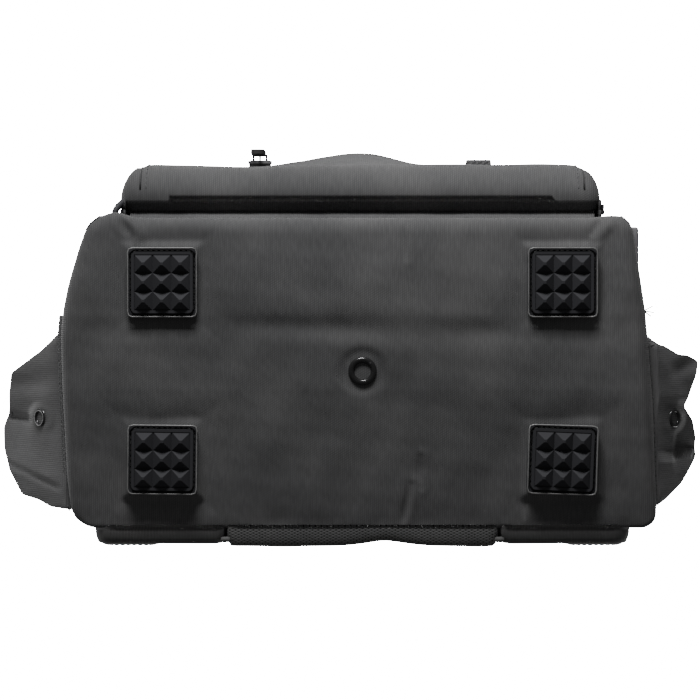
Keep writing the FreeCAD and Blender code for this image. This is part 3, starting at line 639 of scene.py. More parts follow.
class ShaderGroups:
    """Node groups that the finishes share, each built once."""

    @staticmethod
    def make(name: str, inputs: Sequence[str], outputs: Sequence[str],
             build: Callable[[Wiring, Any, Any], None]) -> bpy.types.NodeTree:
        """Returns a group, building it the first time.

        Args:
            name: Name of the group.
            inputs: Names of its number inputs.
            outputs: Names of its number outputs.
            build: Adds the nodes between the group's input and output nodes.

        Returns:
            The group's node tree.
        """
        if name in bpy.data.node_groups:
            return bpy.data.node_groups[name]
        tree = bpy.data.node_groups.new(name, "ShaderNodeTree")
        for label in inputs:
            tree.interface.new_socket(label, in_out="INPUT", socket_type="NodeSocketFloat")
        for label in outputs:
            tree.interface.new_socket(label, in_out="OUTPUT", socket_type="NodeSocketFloat")
        entry, leave = tree.nodes.new("NodeGroupInput"), tree.nodes.new("NodeGroupOutput")
        build(Wiring(tree), entry.outputs, leave.inputs)
        return tree

    @staticmethod
    def face_plane(w: Wiring) -> tuple[Any, Any]:
        """Two coordinates, in metres, in the plane that a face lies nearest to."""
        place = w.node("ShaderNodeTexCoord")
        xyz = w.node("ShaderNodeSeparateXYZ", Vector=place.outputs["Object"]).outputs
        facing = w.node("ShaderNodeSeparateXYZ", Vector=place.outputs["Normal"]).outputs
        nx, ny, nz = (w.math("ABSOLUTE", facing[k]) for k in range(3))
        flat = w.math("GREATER_THAN", nz, w.math("MAXIMUM", nx, ny))
        side = w.math("MULTIPLY", w.math("GREATER_THAN", nx, ny), w.math("SUBTRACT", 1.0, flat))
        return w.mix(side, xyz[0], xyz[1]), w.mix(flat, xyz[2], xyz[1])

    @classmethod
    def weave(cls) -> bpy.types.NodeTree:
        """Ribbed weave: thread height, and how pale each thread is."""

        def build(w: Wiring, given: Any, out: Any) -> None:
            """Adds the weave's nodes."""
            u, v = cls.face_plane(w)
            turn = w.math("DIVIDE", 2 * math.pi, given[0])
            warp = w.math("MULTIPLY", u, turn)
            weft = w.math("MULTIPLY", w.math("MULTIPLY", v, turn), 0.8)
            rib = w.math("ABSOLUTE", w.math("SINE", w.math("MULTIPLY", warp, 0.5)))
            over = w.math("SINE", w.math("ADD", weft, w.math("MULTIPLY", warp, 0.5)))
            over = w.math("MULTIPLY_ADD", over, 0.5, 0.5)
            height = w.math("MULTIPLY", rib, w.mix(given[1], 1.0, over))
            w.feed(out[0], height)
            thin = w.node("ShaderNodeCombineXYZ", X=w.math("DIVIDE", u, given[0]),
                          Y=w.math("DIVIDE", v, w.math("MULTIPLY", given[0], 6.0))).outputs[0]
            w.feed(out[1], w.step(w.noise(thin, 0.9, 1.0), 0.3, 0.7))

        return cls.make("weave", ("Pitch", "Cross"), ("Height", "Thread"), build)

    @classmethod
    def air_mesh(cls) -> bpy.types.NodeTree:
        """Knitted spacer mesh: height of the knit and its open holes."""

        def build(w: Wiring, given: Any, out: Any) -> None:
            """Adds the mesh's nodes."""
            u, v = cls.face_plane(w)
            turn = w.math("DIVIDE", 2 * math.pi, given[0])
            a = w.math("COSINE", w.math("MULTIPLY", u, turn))
            b = w.math("COSINE", w.math("MULTIPLY", w.math("ADD", w.math("MULTIPLY", u, 0.5), v), turn))
            c = w.math("COSINE", w.math("MULTIPLY", w.math("SUBTRACT", w.math("MULTIPLY", u, 0.5), v), turn))
            total = w.math("ADD", a, w.math("ADD", b, c))
            w.feed(out[0], w.step(w.math("MULTIPLY", total, -1.0), -2.4, 0.6))
            w.feed(out[1], w.step(total, 0.9, 2.2))

        return cls.make("air_mesh", ("Pitch",), ("Height", "Hole"), build)

    @classmethod
    def grain(cls) -> bpy.types.NodeTree:
        """Fine moulded grain and soft blotches."""

        def build(w: Wiring, given: Any, out: Any) -> None:
            """Adds the grain's nodes."""
            place = w.node("ShaderNodeTexCoord").outputs["Object"]
            w.feed(out[0], w.noise(place, given[0], 3.0))
            w.feed(out[1], w.step(w.noise(place, w.math("MULTIPLY", given[0], 0.06), 3.0), 0.3, 0.7))

        return cls.make("grain", ("Scale",), ("Height", "Blotch"), build)

    @classmethod
    def wear(cls) -> bpy.types.NodeTree:
        """Paler sharp edges, as rubbed wear and as painted edge highlight, broken up by noise."""

        def build(w: Wiring, given: Any, out: Any) -> None:
            """Adds the nodes of the edge wear and painted highlight."""
            sharp = w.node("ShaderNodeNewGeometry").outputs["Pointiness"]
            place = w.node("ShaderNodeTexCoord").outputs["Object"]
            # Convex edges from pointiness: this mask pales them, partly as wear and partly as a painted
            # highlight.
            edge = w.step(sharp, 0.51, 0.58)
            patch = w.step(w.noise(place, 90.0, 3.0), 0.35, 0.65)
            w.feed(out[0], w.math("MULTIPLY", w.math("MULTIPLY", edge, patch), given[0]))

        return cls.make("edge_wear", ("Amount",), ("Mask",), build)

    @classmethod
    def dust(cls) -> bpy.types.NodeTree:
        """Lint specks and a faint uneven film."""

        def build(w: Wiring, given: Any, out: Any) -> None:
            """Adds the dust's nodes."""
            place = w.node("ShaderNodeTexCoord").outputs["Object"]
            speck = w.step(w.noise(place, 700.0, 1.0), 0.80, 0.86)
            film = w.step(w.noise(place, 22.0, 4.0), 0.35, 0.8)
            w.feed(out[0], w.math("MULTIPLY", w.math("MAXIMUM", speck, w.math("MULTIPLY", film, 0.35)),
                                  given[0]))

        return cls.make("dust", ("Amount",), ("Mask",), build)


@dataclass(frozen=True)
class Finish:
    """A finish of one material slot, with what every finish has."""

    name: str
    slot: Slot
    dark: Colour
    light: Colour
    roughness: float = 0.8
    dust: float = 0.25
    sheen: float = 0.0
    specular: float = 0.5

    def material(self) -> bpy.types.Material:
        """The finish's material, made the first time it is asked for."""
        if self.name in bpy.data.materials:
            return bpy.data.materials[self.name]
        material = bpy.data.materials.new(self.name)
        material.use_nodes = True
        w = Wiring(material.node_tree)
        shader = material.node_tree.nodes["Principled BSDF"]
        shader.inputs["Roughness"].default_value = self.roughness
        shader.inputs["Specular IOR Level"].default_value = self.specular
        shader.inputs["Sheen Weight"].default_value = self.sheen
        shader.inputs["Sheen Roughness"].default_value = 0.4
        self.wire(w, shader)
        return material

    def colour(self, value: Colour) -> tuple[float, float, float, float]:
        """A colour with full alpha."""
        return (*value, 1.0)

    def group(self, w: Wiring, tree: bpy.types.NodeTree, *values: float) -> Any:
        """Places a group with its values and returns its outputs."""
        made = w.tree.nodes.new("ShaderNodeGroup")
        made.node_tree = tree
        for socket, value in zip(made.inputs, values):
            socket.default_value = value
        return made.outputs

    def dress(self, w: Wiring, shader: bpy.types.Node, pale: Any, height: Any, depth: float) -> None:
        """Feeds colour, roughness and bump.

        Args:
            w: Wiring of the material.
            shader: Its shader.
            pale: How far the colour goes from dark to light.
            height: Height of the surface detail, 0 to 1.
            depth: What a height of 1 stands for, in metres.
        """
        film = self.group(w, ShaderGroups.dust(), self.dust)[0]
        base = w.tint(pale, self.colour(self.dark), self.colour(self.light))
        w.feed(shader.inputs["Base Color"], w.tint(film, base, (0.32, 0.31, 0.30, 1.0)))
        rough = w.math("MULTIPLY_ADD", film, 0.2, self.roughness)
        w.feed(shader.inputs["Roughness"], w.math("MULTIPLY_ADD", pale, -0.06, rough))
        bump = w.node("ShaderNodeBump", Strength=1.0, Distance=depth, Height=height)
        w.feed(shader.inputs["Normal"], bump.outputs[0])

    def wire(self, w: Wiring, shader: bpy.types.Node) -> None:
        """Adds the finish's own nodes; each kind has its own."""
        raise NotImplementedError


@dataclass(frozen=True)
class Woven(Finish):
    """Woven cloth, webbing and tape."""

    pitch: float = 1.08
    cross: float = 0.45
    depth: float = 0.10

    def wire(self, w: Wiring, shader: bpy.types.Node) -> None:
        """Threads of their own tone, darker in the weave's hollows as painted shade, over a slow change of
        colour.
        """
        height, thread = self.group(w, ShaderGroups.weave(), self.pitch * MM, self.cross)[:2]
        blotch = self.group(w, ShaderGroups.grain(), 160.0)[1]
        # Painted shade: colour follows the weave's height, so the hollows between threads are darker; the
        # thread and blotch tones are the cloth's own.
        pale = w.math("MULTIPLY", w.math("MULTIPLY_ADD", thread, 0.22, 0.78),
                      w.math("MULTIPLY_ADD", height, 0.55, 0.4))
        pale = w.math("MULTIPLY", pale, w.math("MULTIPLY_ADD", blotch, 0.3, 0.7))
        self.dress(w, shader, pale, height, self.depth * MM)


@dataclass(frozen=True)
class SpacerMesh(Finish):
    """Open knitted mesh over foam."""

    pitch: float = 1.6
    depth: float = 0.4

    def wire(self, w: Wiring, shader: bpy.types.Node) -> None:
        """Knit whose holes and yarn hollows are painted dark as shade, with fine yarn between the holes."""
        height, hole = self.group(w, ShaderGroups.air_mesh(), self.pitch * MM)[:2]
        yarn = self.group(w, ShaderGroups.weave(), 0.7 * MM, 0.6)[0]
        # Painted shade: the knit's holes take the dark colour and the yarn's hollows are darker, as shade in
        # these recesses.
        pale = w.math("MULTIPLY", w.math("SUBTRACT", 1.0, hole), w.math("MULTIPLY_ADD", yarn, 0.5, 0.5))
        rise = w.math("MULTIPLY_ADD", yarn, 0.2, w.math("MULTIPLY", height, 0.8))
        self.dress(w, shader, pale, rise, self.depth * MM)


@dataclass(frozen=True)
class Moulded(Finish):
    """Rubber or plastic with a fine grain, and paler edges that are partly wear and partly painted highlight.
    """

    grain_scale: float = 1800.0
    depth: float = 0.03
    wear: float = 0.35

    def wire(self, w: Wiring, shader: bpy.types.Node) -> None:
        """Grain, blotches, and edges paled by the mask of wear and painted highlight."""
        height, blotch = self.group(w, ShaderGroups.grain(), self.grain_scale)[:2]
        worn_and_highlit = self.group(w, ShaderGroups.wear(), self.wear)[0]
        # The edge mask pales the colour: rubbed wear, and a painted highlight along the edges.
        self.dress(w, shader, w.math("MAXIMUM", w.math("MULTIPLY", blotch, 0.4), worn_and_highlit), height,
                   self.depth * MM)


@dataclass(frozen=True)
class Plated(Finish):
    """Plated or enamelled metal with fine scratches."""

    metallic: float = 1.0

    def wire(self, w: Wiring, shader: bpy.types.Node) -> None:
        """Scratches in the roughness, and metal paler at the edges as wear and as painted highlight."""
        shader.inputs["Metallic"].default_value = self.metallic
        place = w.node("ShaderNodeTexCoord").outputs["Object"]
        stretch = w.node("ShaderNodeMapping", Vector=place, Scale=(900.0, 4000.0, 900.0)).outputs[0]
        scratch = w.noise(stretch, 1.0, 2.0)
        worn_and_highlit = self.group(w, ShaderGroups.wear(), 0.7)[0]
        # The edge mask pales the metal: partly wear, partly a painted highlight.
        self.dress(w, shader, worn_and_highlit, scratch, 0.004 * MM)


SHELL = Woven("shell_weave", Slot.SHELL, (0.020, 0.020, 0.021), (0.100, 0.100, 0.102), 0.86, sheen=0.25)
LINING = Woven("lining_weave", Slot.LINING, (0.10, 0.10, 0.105), (0.24, 0.24, 0.25), 0.85, pitch=0.6,
               sheen=0.3)
BACK = Woven("back_weave", Slot.BACK, (0.022, 0.022, 0.023), (0.10, 0.10, 0.10), 0.85, pitch=0.8, sheen=0.2)
WEBBING = Woven("webbing_weave", Slot.WEBBING, (0.014, 0.014, 0.015), (0.085, 0.085, 0.088), 0.75, pitch=1.7,
                cross=0.8, depth=0.35)
BINDING = Woven("elastic_weave", Slot.BINDING, (0.016, 0.016, 0.017), (0.075, 0.075, 0.078), 0.8, pitch=1.2,
                cross=0.2,
                depth=0.3)
TAPE = Woven("zip_tape_weave", Slot.COIL, (0.010, 0.010, 0.011), (0.05, 0.05, 0.052), 0.8, pitch=0.7,
             cross=0.7)
MESH = SpacerMesh("spacer_mesh", Slot.MESH, (0.012, 0.012, 0.012), (0.13, 0.13, 0.13), 0.9)
THREAD = Woven("thread", Slot.SHELL, (0.05, 0.05, 0.052), (0.14, 0.14, 0.145), 0.7, pitch=0.35, dust=0.0)
BACK_THREAD = Woven("back_thread", Slot.BACK, (0.05, 0.05, 0.05), (0.15, 0.15, 0.15), 0.7, pitch=0.35,
                    dust=0.0)
WEB_THREAD = Woven("web_thread", Slot.WEBBING, (0.05, 0.05, 0.05), (0.14, 0.14, 0.14), 0.7, pitch=0.35,
                   dust=0.0)
# Foot stitches: thread coloured near black, darker than the rubber, as painted shade in the feet's grooves.
FOOT_THREAD_PAINTED_SHADE = Woven("foot_thread", Slot.FOOT, (0.008, 0.008, 0.008), (0.03, 0.03, 0.03), 0.7, pitch=0.35,
                    dust=0.0)
# Foot rubber: the strongest edge mask, which paints a highlight along the pyramids' edges as well as wear.
RUBBER = Moulded("foot_rubber", Slot.FOOT, (0.125, 0.125, 0.127), (0.36, 0.36, 0.365), 0.36, wear=0.9,
                 specular=0.9)
BEAD = Moulded("foot_bead", Slot.FOOT, (0.10, 0.10, 0.10), (0.30, 0.30, 0.30), 0.4, wear=0.5)
PLASTIC = Moulded("buckle_plastic", Slot.BUCKLE, (0.012, 0.012, 0.013), (0.05, 0.05, 0.052), 0.42)
BOARD = Moulded("board_plastic", Slot.BOARD, (0.05, 0.05, 0.05), (0.11, 0.11, 0.11), 0.6, grain_scale=600.0)
PULL = Moulded("pull_rubber", Slot.PULL, (0.012, 0.012, 0.012), (0.05, 0.05, 0.05), 0.5)
COIL = Moulded("zip_coil", Slot.COIL, (0.010, 0.010, 0.011), (0.06, 0.06, 0.06), 0.35, wear=0.2)
NICKEL = Plated("black_nickel", Slot.EYELET, (0.035, 0.035, 0.036), (0.30, 0.30, 0.31), 0.22, dust=0.04,
                metallic=0.6)
ENAMEL = Plated("black_enamel", Slot.SLIDER, (0.03, 0.03, 0.032), (0.35, 0.35, 0.36), 0.3, dust=0.05,
                metallic=0.4)


# ------------------------------------------------------------------ body

class Side(Enum):
    """The two sides of the bag, with the sign of X there."""

    LEFT = -1
    RIGHT = 1

    @property
    def word(self) -> str:
        """Lower-case name, as in the frame's node names."""
        return self.name.lower()


@dataclass
class BodyShell:
    """Bottom, walls, top, front frame and back of the bag."""

    bottom_z: float = 8.1
    top_z: float = 440.0
    front_y: float = -83.0
    back_y: float = 83.0
    shoulder: float = 60.0
    narrowing: float = 18.0
    roll_side: float = 7.0
    roll_front: float = 8.5
    roll_back: float = 6.0
    foot_half: float = 19.0
    door_bottom: float = 36.0
    door_low_half: float = 133.0
    door_drop: float = 20.0
    door_radius: float = 48.0
    wall: float = 5.5
    seam_lift: float = 16.5
    seam_inset: float = 0.4
    left_edge: tuple = ((-82, 148.2), (-65, 154.3), (-46, 159.8), (-33, 162.4), (-20, 163.6), (9, 162.9),
                        (57, 160.4),
                        (75, 158.2), (84, 150.5))
    right_edge: tuple = ((-82, 145.5), (-66, 148.3), (-49, 151.0), (-33, 153.4), (-16, 155.0), (20, 157.7),
                         (57, 158.9),
                         (75, 159.9), (84, 158.0))
    upper_edge: tuple = ((-83, 144.0), (-50, 152.0), (-5, 158.5), (40, 159.0), (83, 151.0))

    def __post_init__(self) -> None:
        """Reads the heights and depths from the frame."""
        low = span("front_frame")[0]
        self.front_y = float(low[1])
        self.top_z = float(span("top_panel")[1][2])
        self.back_y = float(span("back_panel")[1][1])
        self.door_bottom = float(span("door_panel")[0][2])

    def narrow(self, z: Array) -> Array:
        """How much nearer the middle a side is at a height."""
        return self.narrowing * (np.asarray(z, float) - self.bottom_z) / (self.top_z - self.bottom_z)

    def half_width(self, side: Side, y: Array, z: Array) -> Array:
        """Distance from the middle to a side's outer face.

        Args:
            side: Which side.
            y: Depth coordinates.
            z: Heights.

        Returns:
            The distances.
        """
        knots = self.left_edge if side is Side.LEFT else self.right_edge
        low = curve_through(knots, y, 14.0)
        high = curve_through(self.upper_edge, y, 30.0)
        return low + (high - low) * smooth(40, 200, z) - self.narrow(z)

    def feet(self) -> list[Array]:
        """Middles of the four feet."""
        names = [f"foot_{row}_{side.word}" for row in ("front", "back") for side in Side]
        return [((span(name)[0] + span(name)[1]) / 2)[:2] for name in names]

    def crease(self, x: Array, y: Array, start: tuple, end: tuple, depth: float, width: float) -> Array:
        """Sharp fold between two points, deepest in its middle.

        Args:
            x: Places across.
            y: Places in depth.
            start: First end of the fold.
            end: Other end.
            depth: Depth in the middle.
            width: Half width of the fold.

        Returns:
            How far the cloth is drawn in.
        """
        a, b = np.array(start, float), np.array(end, float)
        along = b - a
        t = ((x - a[0]) * along[0] + (y - a[1]) * along[1]) / (along @ along)
        inside = np.clip(t, 0, 1)
        gap = np.hypot(x - a[0] - inside * along[0], y - a[1] - inside * along[1])
        side = (x - a[0]) * along[1] - (y - a[1]) * along[0]
        lift = -0.45 * depth * np.exp(-((gap - width * 1.7) / (width * 1.3)) ** 2) * (side > 0)
        return depth * np.exp(-(gap / width) ** 2) * (0.35 + 0.65
                                                      * np.sin(math.pi * np.clip(t, 0.02, 0.98))) + lift

    def bottom_relief(self, x: Array, y: Array) -> Array:
        """How far the bottom cloth is drawn in, at each place, by its sag, valley and folds."""
        clear = np.full(x.shape, 1e3)
        for foot in self.feet():
            clear = np.minimum(clear, np.maximum(np.abs(x - foot[0]), np.abs(y - foot[1])) - self.foot_half)
        drain = np.hypot(x, y)
        free = smooth(0, 15, clear) * smooth(7, 20, drain)
        sag = -1.7 * free * (0.55 + 0.45 * hump(y, -52, 26))
        valley = 1.5 * hump(y, -22.5 + 2.0 * np.sin(x / 47.0), 6.5) * (0.55 + 0.45 * ripple(x, y * 0, 90, 4))
        valley *= smooth(4, 16, clear) * smooth(162, 120, np.abs(x))
        front = 1.4 * np.exp(-(y - self.front_y) / 13.0) + 0.045 * np.clip(-30 - y, 0, 60)
        rear = 0.05 * np.clip(y - 10, 0, 80) + 1.2 * np.exp((y - self.back_y) / 9.0)
        folds = self.crease(x, y, (23.0, -80.0), (23.5, -61.0), 0.7, 1.8)
        folds += self.crease(x, y, (31.0, 46.5), (31.5, 63.0), 1.0, 1.7)
        folds += self.crease(x, y, (26.0, 61.0), (21.8, 84.0), 1.6, 1.7)
        folds += self.crease(x, y, (87.0, 68.0), (87.5, 79.0), 1.0, 1.6)
        folds += self.crease(x, y, (-131.0, -84.0), (-125.5, -73.0), 2.2, 2.6)
        folds += self.crease(x, y, (130.0, -84.0), (125.0, -75.0), 1.8, 2.4)
        soft = 0.34 * ripple(x, y, 46, 11) + 0.12 * ripple(x, y, 17, 12) + 0.03 * ripple(x, y, 6, 13)
        pleats = 0.35 * np.sin(x / 3.1 + 2 * np.sin(x / 11)) * np.exp(-(y - self.front_y) / 5.0)
        pleats = pleats + 0.3 * np.sin(x / 4.3) * np.exp((y - self.back_y) / 4.0)
        ring = 0.3 * hump(drain, 10.5, 2.0) - 0.25 * hump(drain, 14, 3)
        edge = smooth(-1, 4, clear)
        return sag + (valley + front + rear + folds + ring) * edge + (soft + pleats) * smooth(0, 6, clear)

    def bottom_grid(self) -> Array:
        """Outer face of the bottom, with its edges rolled up to the walls."""
        turn = 1 - np.sin(np.linspace(math.pi / 2, 0, 9))
        depth = self.back_y - self.front_y
        front, back = turn * self.roll_front, turn * self.roll_back
        rows = np.concatenate([front, np.arange(self.roll_front + 1.3, depth - self.roll_back - 0.6, 1.3),
                               depth - back[::-1]]) + self.front_y
        width = 316.0
        near = turn * self.roll_side / width
        columns = np.concatenate([near, np.arange(near[-1] + 0.0042, 1 - near[-1] - 0.002, 0.0042),
                                  1 - near[::-1]])
        y, u = np.meshgrid(rows, columns, indexing="ij")
        left = -self.half_width(Side.LEFT, y, np.full(y.shape, self.bottom_z))
        right = self.half_width(Side.RIGHT, y, np.full(y.shape, self.bottom_z))
        x = left + (right - left) * u
        from_side = np.minimum(x - left, right - x)
        from_row = np.minimum(y - self.front_y, self.back_y - y)
        radius = np.where(y < 0, self.roll_front, self.roll_back)
        ex = np.clip(1 - from_side / self.roll_side, 0, 1)
        ey = np.clip(1 - from_row / radius, 0, 1)
        reach = np.hypot(ex, ey)
        keep = np.where(reach > 1, 1 / np.maximum(reach, 1e-9), 1.0)
        ears = 3.0 * hump(x, -134, 7.5) + 1.2 * hump(x, 136, 9)
        y = y - ears * smooth(-55, -80, y) + 2.4 * smooth(self.back_y - 25, self.back_y, y)
        middle = (left + right) / 2
        x = x + np.sign(middle - x) * self.roll_side * ex * (1 - keep)
        y = y + np.sign(-y) * radius * ey * (1 - keep)
        bend = np.clip(reach, 0, 1)
        mixed = (ex ** 2 * self.roll_side + ey ** 2 * radius) / np.maximum(reach ** 2, 1e-9)
        z = self.bottom_z + mixed * (1 - np.sqrt(1 - bend ** 2)) + self.bottom_relief(x, y) * (1 - bend ** 2)
        return np.stack([x, y, z], -1)

    def make_bottom(self) -> None:
        """Bottom cloth with its seam strips and stitches."""
        grid = self.bottom_grid()
        mesh = thick_sheet(grid, 2.6, np.array([0, 0, 100.0]))
        count = (grid.shape[0] - 1) * (grid.shape[1] - 1)
        add_piece("bottom_cloth", mesh, SHELL, stands_for=["bottom_panel"], inner=LINING, outer_faces=count)
        rows = []
        strips = []
        for side in Side:
            y = np.linspace(-30 if side is Side.LEFT else -10, 70, 70)
            x = side.value * (self.half_width(side, y, np.full(y.shape, self.bottom_z)) + self.seam_inset)
            path = np.stack([x, y, np.full(y.shape, self.seam_lift)], 1)
            normal = np.repeat([[side.value * 0.8, 0, -0.6]], len(y), 0)
            strips.append(sweep(path, normal, flat_section(4.2, 1.5)))
            shift = unit(np.cross(unit(np.gradient(path, axis=0)), normal)) * 1.2
            up = unit(normal) * 0.8
            rows += [(path + shift + up, normal), (path - shift + up, normal)]
        add_piece("side_seam_strips", merge(strips), SHELL)
        add_stitches("side_seam_stitches", rows, THREAD, pitch=2.6, length=2.0, radius=0.3)
        strands = []
        for tip in ((157.6, -35.0, 16.0), (158.4, -31.6, 17.5), (156.8, -29.4, 15.5)):
            path = curve_points((152.6, -32.4, 18.0), tip, 1.0, 8)
            strands.append(sweep(path, np.repeat([[0.0, 0.3, -1.0]], 8, 0), round_section(0.42, 6)))
        add_piece("loose_thread_ends", merge(strands), TAPE)

    def wall_grid(self, inset: float = 0.0) -> Array:
        """Outer face of the walls and top as one strip from the bottom left, over, to the bottom right."""
        turn = np.linspace(0, 1, 7)
        edge = 5.0 * (1 - np.cos(turn * math.pi / 2))
        depth = self.back_y - self.front_y
        y_line = np.concatenate([edge, np.linspace(5.0, depth - 5.0, 50)[1:-1],
                                 depth - edge[::-1]]) + self.front_y
        shoulder_z = self.top_z - self.shoulder
        up = np.linspace(15.0, shoulder_z, 90)
        arc = np.linspace(0, math.pi / 2, 18)[1:-1]
        left, right = [], []
        for side, strip in ((Side.LEFT, left), (Side.RIGHT, right)):
            for z in up:
                x = self.half_width(side, y_line, np.full(y_line.shape, z)) - inset
                strip.append(np.stack([side.value * x, y_line, np.full(y_line.shape, z)], 1))
            top = self.half_width(side, y_line, np.full(y_line.shape, shoulder_z)) - inset
            for angle in arc:
                x = top - self.shoulder * (1 - math.cos(angle))
                z = shoulder_z + (self.shoulder - inset) * math.sin(angle)
                strip.append(np.stack([side.value * x, y_line, np.full(y_line.shape, z)], 1))
        corner_left = left[-1][:, 0] + 3.0
        corner_right = right[-1][:, 0] - 3.0
        across = [np.stack([corner_left + (corner_right - corner_left) * t, y_line,
                            np.full(y_line.shape, self.top_z - inset)], 1) for t in np.linspace(0, 1, 56)]
        return np.array(left + across + right[::-1])

    def make_walls(self) -> None:
        """Side walls and top: one long gusset that sags and puffs between its seams."""
        grid = self.wall_grid()
        normals = grid_normals(grid)
        normals *= np.sign(np.sum(normals * (grid - np.array([0, 0, 220.0]))))
        y = grid[..., 1]
        t = (y - self.front_y) / (self.back_y - self.front_y)
        rim = 1 - round_edge(np.minimum(t, 1 - t) * (self.back_y - self.front_y), 5.0)
        low = smooth(20, 110, grid[..., 2])
        along = np.cumsum(np.linalg.norm(np.diff(grid[:, 25], axis=0, prepend=grid[:1, 25]), axis=1))
        s = along[:, None] + 0 * y
        puff = 2.2 * np.sin(math.pi * t) * low + (1.2 * ripple(s, y, 95, 21) + 0.5 * ripple(s, y, 38, 22)
                                                  + 0.15 * ripple(s, y, 15, 23)) * (0.25 + 0.75 * low)
        puff = puff * (1 - 0.8 * smooth(424, 436, grid[..., 2]))
        grid = grid + normals * (puff * (1 - rim) - 4.0 * rim)[..., None]
        mesh = thick_sheet(grid, self.wall, np.array([0, 0, 220.0]))
        count = (grid.shape[0] - 1) * (grid.shape[1] - 1)
        add_piece("walls_and_top_cloth", mesh, SHELL,
                  stands_for=["side_panel_left", "side_panel_right", "top_panel"],
                  inner=LINING, outer_faces=count)
        rows = []
        for column in (10, -11):
            rows.append((grid[8:-8, column] + normals[8:-8, column] * 0.1, normals[8:-8, column]))
        add_stitches("wall_edge_stitches", rows, THREAD)
        cords = []
        for column in (0, -1):
            path = grid[8:-8, column] - normals[8:-8, column] * 0.8
            cords.append(sweep(*resample(path, 4.0, normals[8:-8, column]), round_section(1.4, 10)))
        add_piece("body_piping", merge(cords), SHELL)

    def arch(self, offset: float, bottom: float, spacing: float = 4.0) -> Array:
        """The main zip's arch, moved out by an offset.

        Args:
            offset: Distance outside the door's edge.
            bottom: Height of its two lower ends.
            spacing: Distance between points.

        Returns:
            Points across and up, from the lower left end over the top to the lower right.
        """
        top = self.top_z - self.door_drop + offset
        low = self.door_low_half - float(self.narrow(bottom)) + offset
        high = self.door_low_half - float(self.narrow(top)) + offset
        radius = self.door_radius + offset
        rounded = round_polygon([(-low, bottom), (-high, top), (high, top), (low, bottom)],
                                [0.1, radius, radius, 0.1], spacing)
        start = int(np.argmin(np.hypot(rounded[:, 0] + low, rounded[:, 1] - bottom)))
        points = np.roll(rounded, -start, axis=0)
        end = int(np.argmin(np.hypot(points[:, 0] - low, points[:, 1] - bottom)))
        points = points[:end + 1]
        return resample(points, spacing)[0]

    def make_front_frame(self) -> None:
        """Cloth face between the main zip and the body's edge, and the sill under the door."""
        inner = self.arch(1.0, self.door_bottom - 2)
        count = len(inner)
        outer = resample(self.wall_grid()[:, 0][:, [0, 2]], 4.0)[0]
        t = np.linspace(0, 1, count)
        outer = np.stack([np.interp(t, np.linspace(0, 1, len(outer)), outer[:, k]) for k in (0, 1)], 1)
        centre = np.array([0.0, 200.0])
        outer = outer + unit(centre - outer) * (3.0 + 3.5 * smooth(70, 30, outer[:, 1]))[:, None]
        k = np.linspace(0, 1, 12)[:, None, None]
        flat = inner[None] * (1 - k) + outer[None] * k
        bulge = -1.6 * np.sin(math.pi * k[..., 0]) * np.ones(count) - 0.25 * ripple(flat[..., 0],
                                                                                    flat[..., 1], 40, 31)
        grid = np.stack([flat[..., 0], self.front_y + 0.8 + bulge, flat[..., 1]], -1)
        faces = (grid.shape[0] - 1) * (grid.shape[1] - 1)
        add_piece("front_frame_cloth", thick_sheet(grid, 3.0, np.array([0, 50, 220.0])), SHELL,
                  stands_for=["front_frame"], inner=LINING, outer_faces=faces)
        normal = np.repeat([[0.0, -1.0, 0.0]], count, 0)
        add_stitches("front_frame_stitches",
                     [(grid[6] + [0, -0.1, 0], normal), (grid[8] + [0, -0.1, 0], normal)],
                     THREAD)
        x = np.linspace(-1, 1, 90)
        z = np.concatenate([np.linspace(15, 30, 6), np.linspace(32, self.door_bottom - 0.6, 4)])
        zz, xx = np.meshgrid(z, x * (self.door_low_half + 6), indexing="ij")
        lip = self.front_y + 0.6 + 3.2 * smooth(26, 15, zz) + 0.3 * ripple(xx, zz, 30, 32)
        add_piece("door_sill_cloth", thick_sheet(np.stack([xx, lip, zz], -1), 3.0, np.array([0, 50, 25.0])),
                  SHELL)

    def make_back(self) -> None:
        """Back face that the padding is sewn to."""
        low, high = span("back_panel")
        outline = round_polygon([(low[0] + 3, low[2]), (high[0] - 3, low[2]),
                                 (high[0] - self.narrowing - 3, high[2] - 2),
                                 (low[0] + self.narrowing + 3, high[2] - 2)], [8, 8, 56, 56], 5.0)

        def place(u: Array, v: Array, w: Array) -> Array:
            """Points of the back face; height goes outwards."""
            return np.stack([u, self.back_y - 0.5 + w, v], -1)

        mesh = pillow(outline, lambda d, u, v: -1.4 * (1 - round_edge(d, 4)) + 0.3 * ripple(u, v, 60, 41),
                      lambda d, u, v: -5.0 + 0 * d, place, 5.0, 7.0)
        add_piece("back_cloth", mesh, SHELL, stands_for=["back_panel"])
        path = np.concatenate([outline, outline[:1]])
        path = np.stack([path[:, 0] * 0.992, np.full(len(path), self.back_y + 0.1), path[:, 1]], 1)
        add_stitches("back_edge_stitches", [(path, np.repeat([[0.0, 1.0, 0.0]], len(path), 0))], THREAD)

    def build(self) -> None:
        """Builds the whole shell."""
        self.make_bottom()
        self.make_walls()
        self.make_front_frame()
        self.make_back()


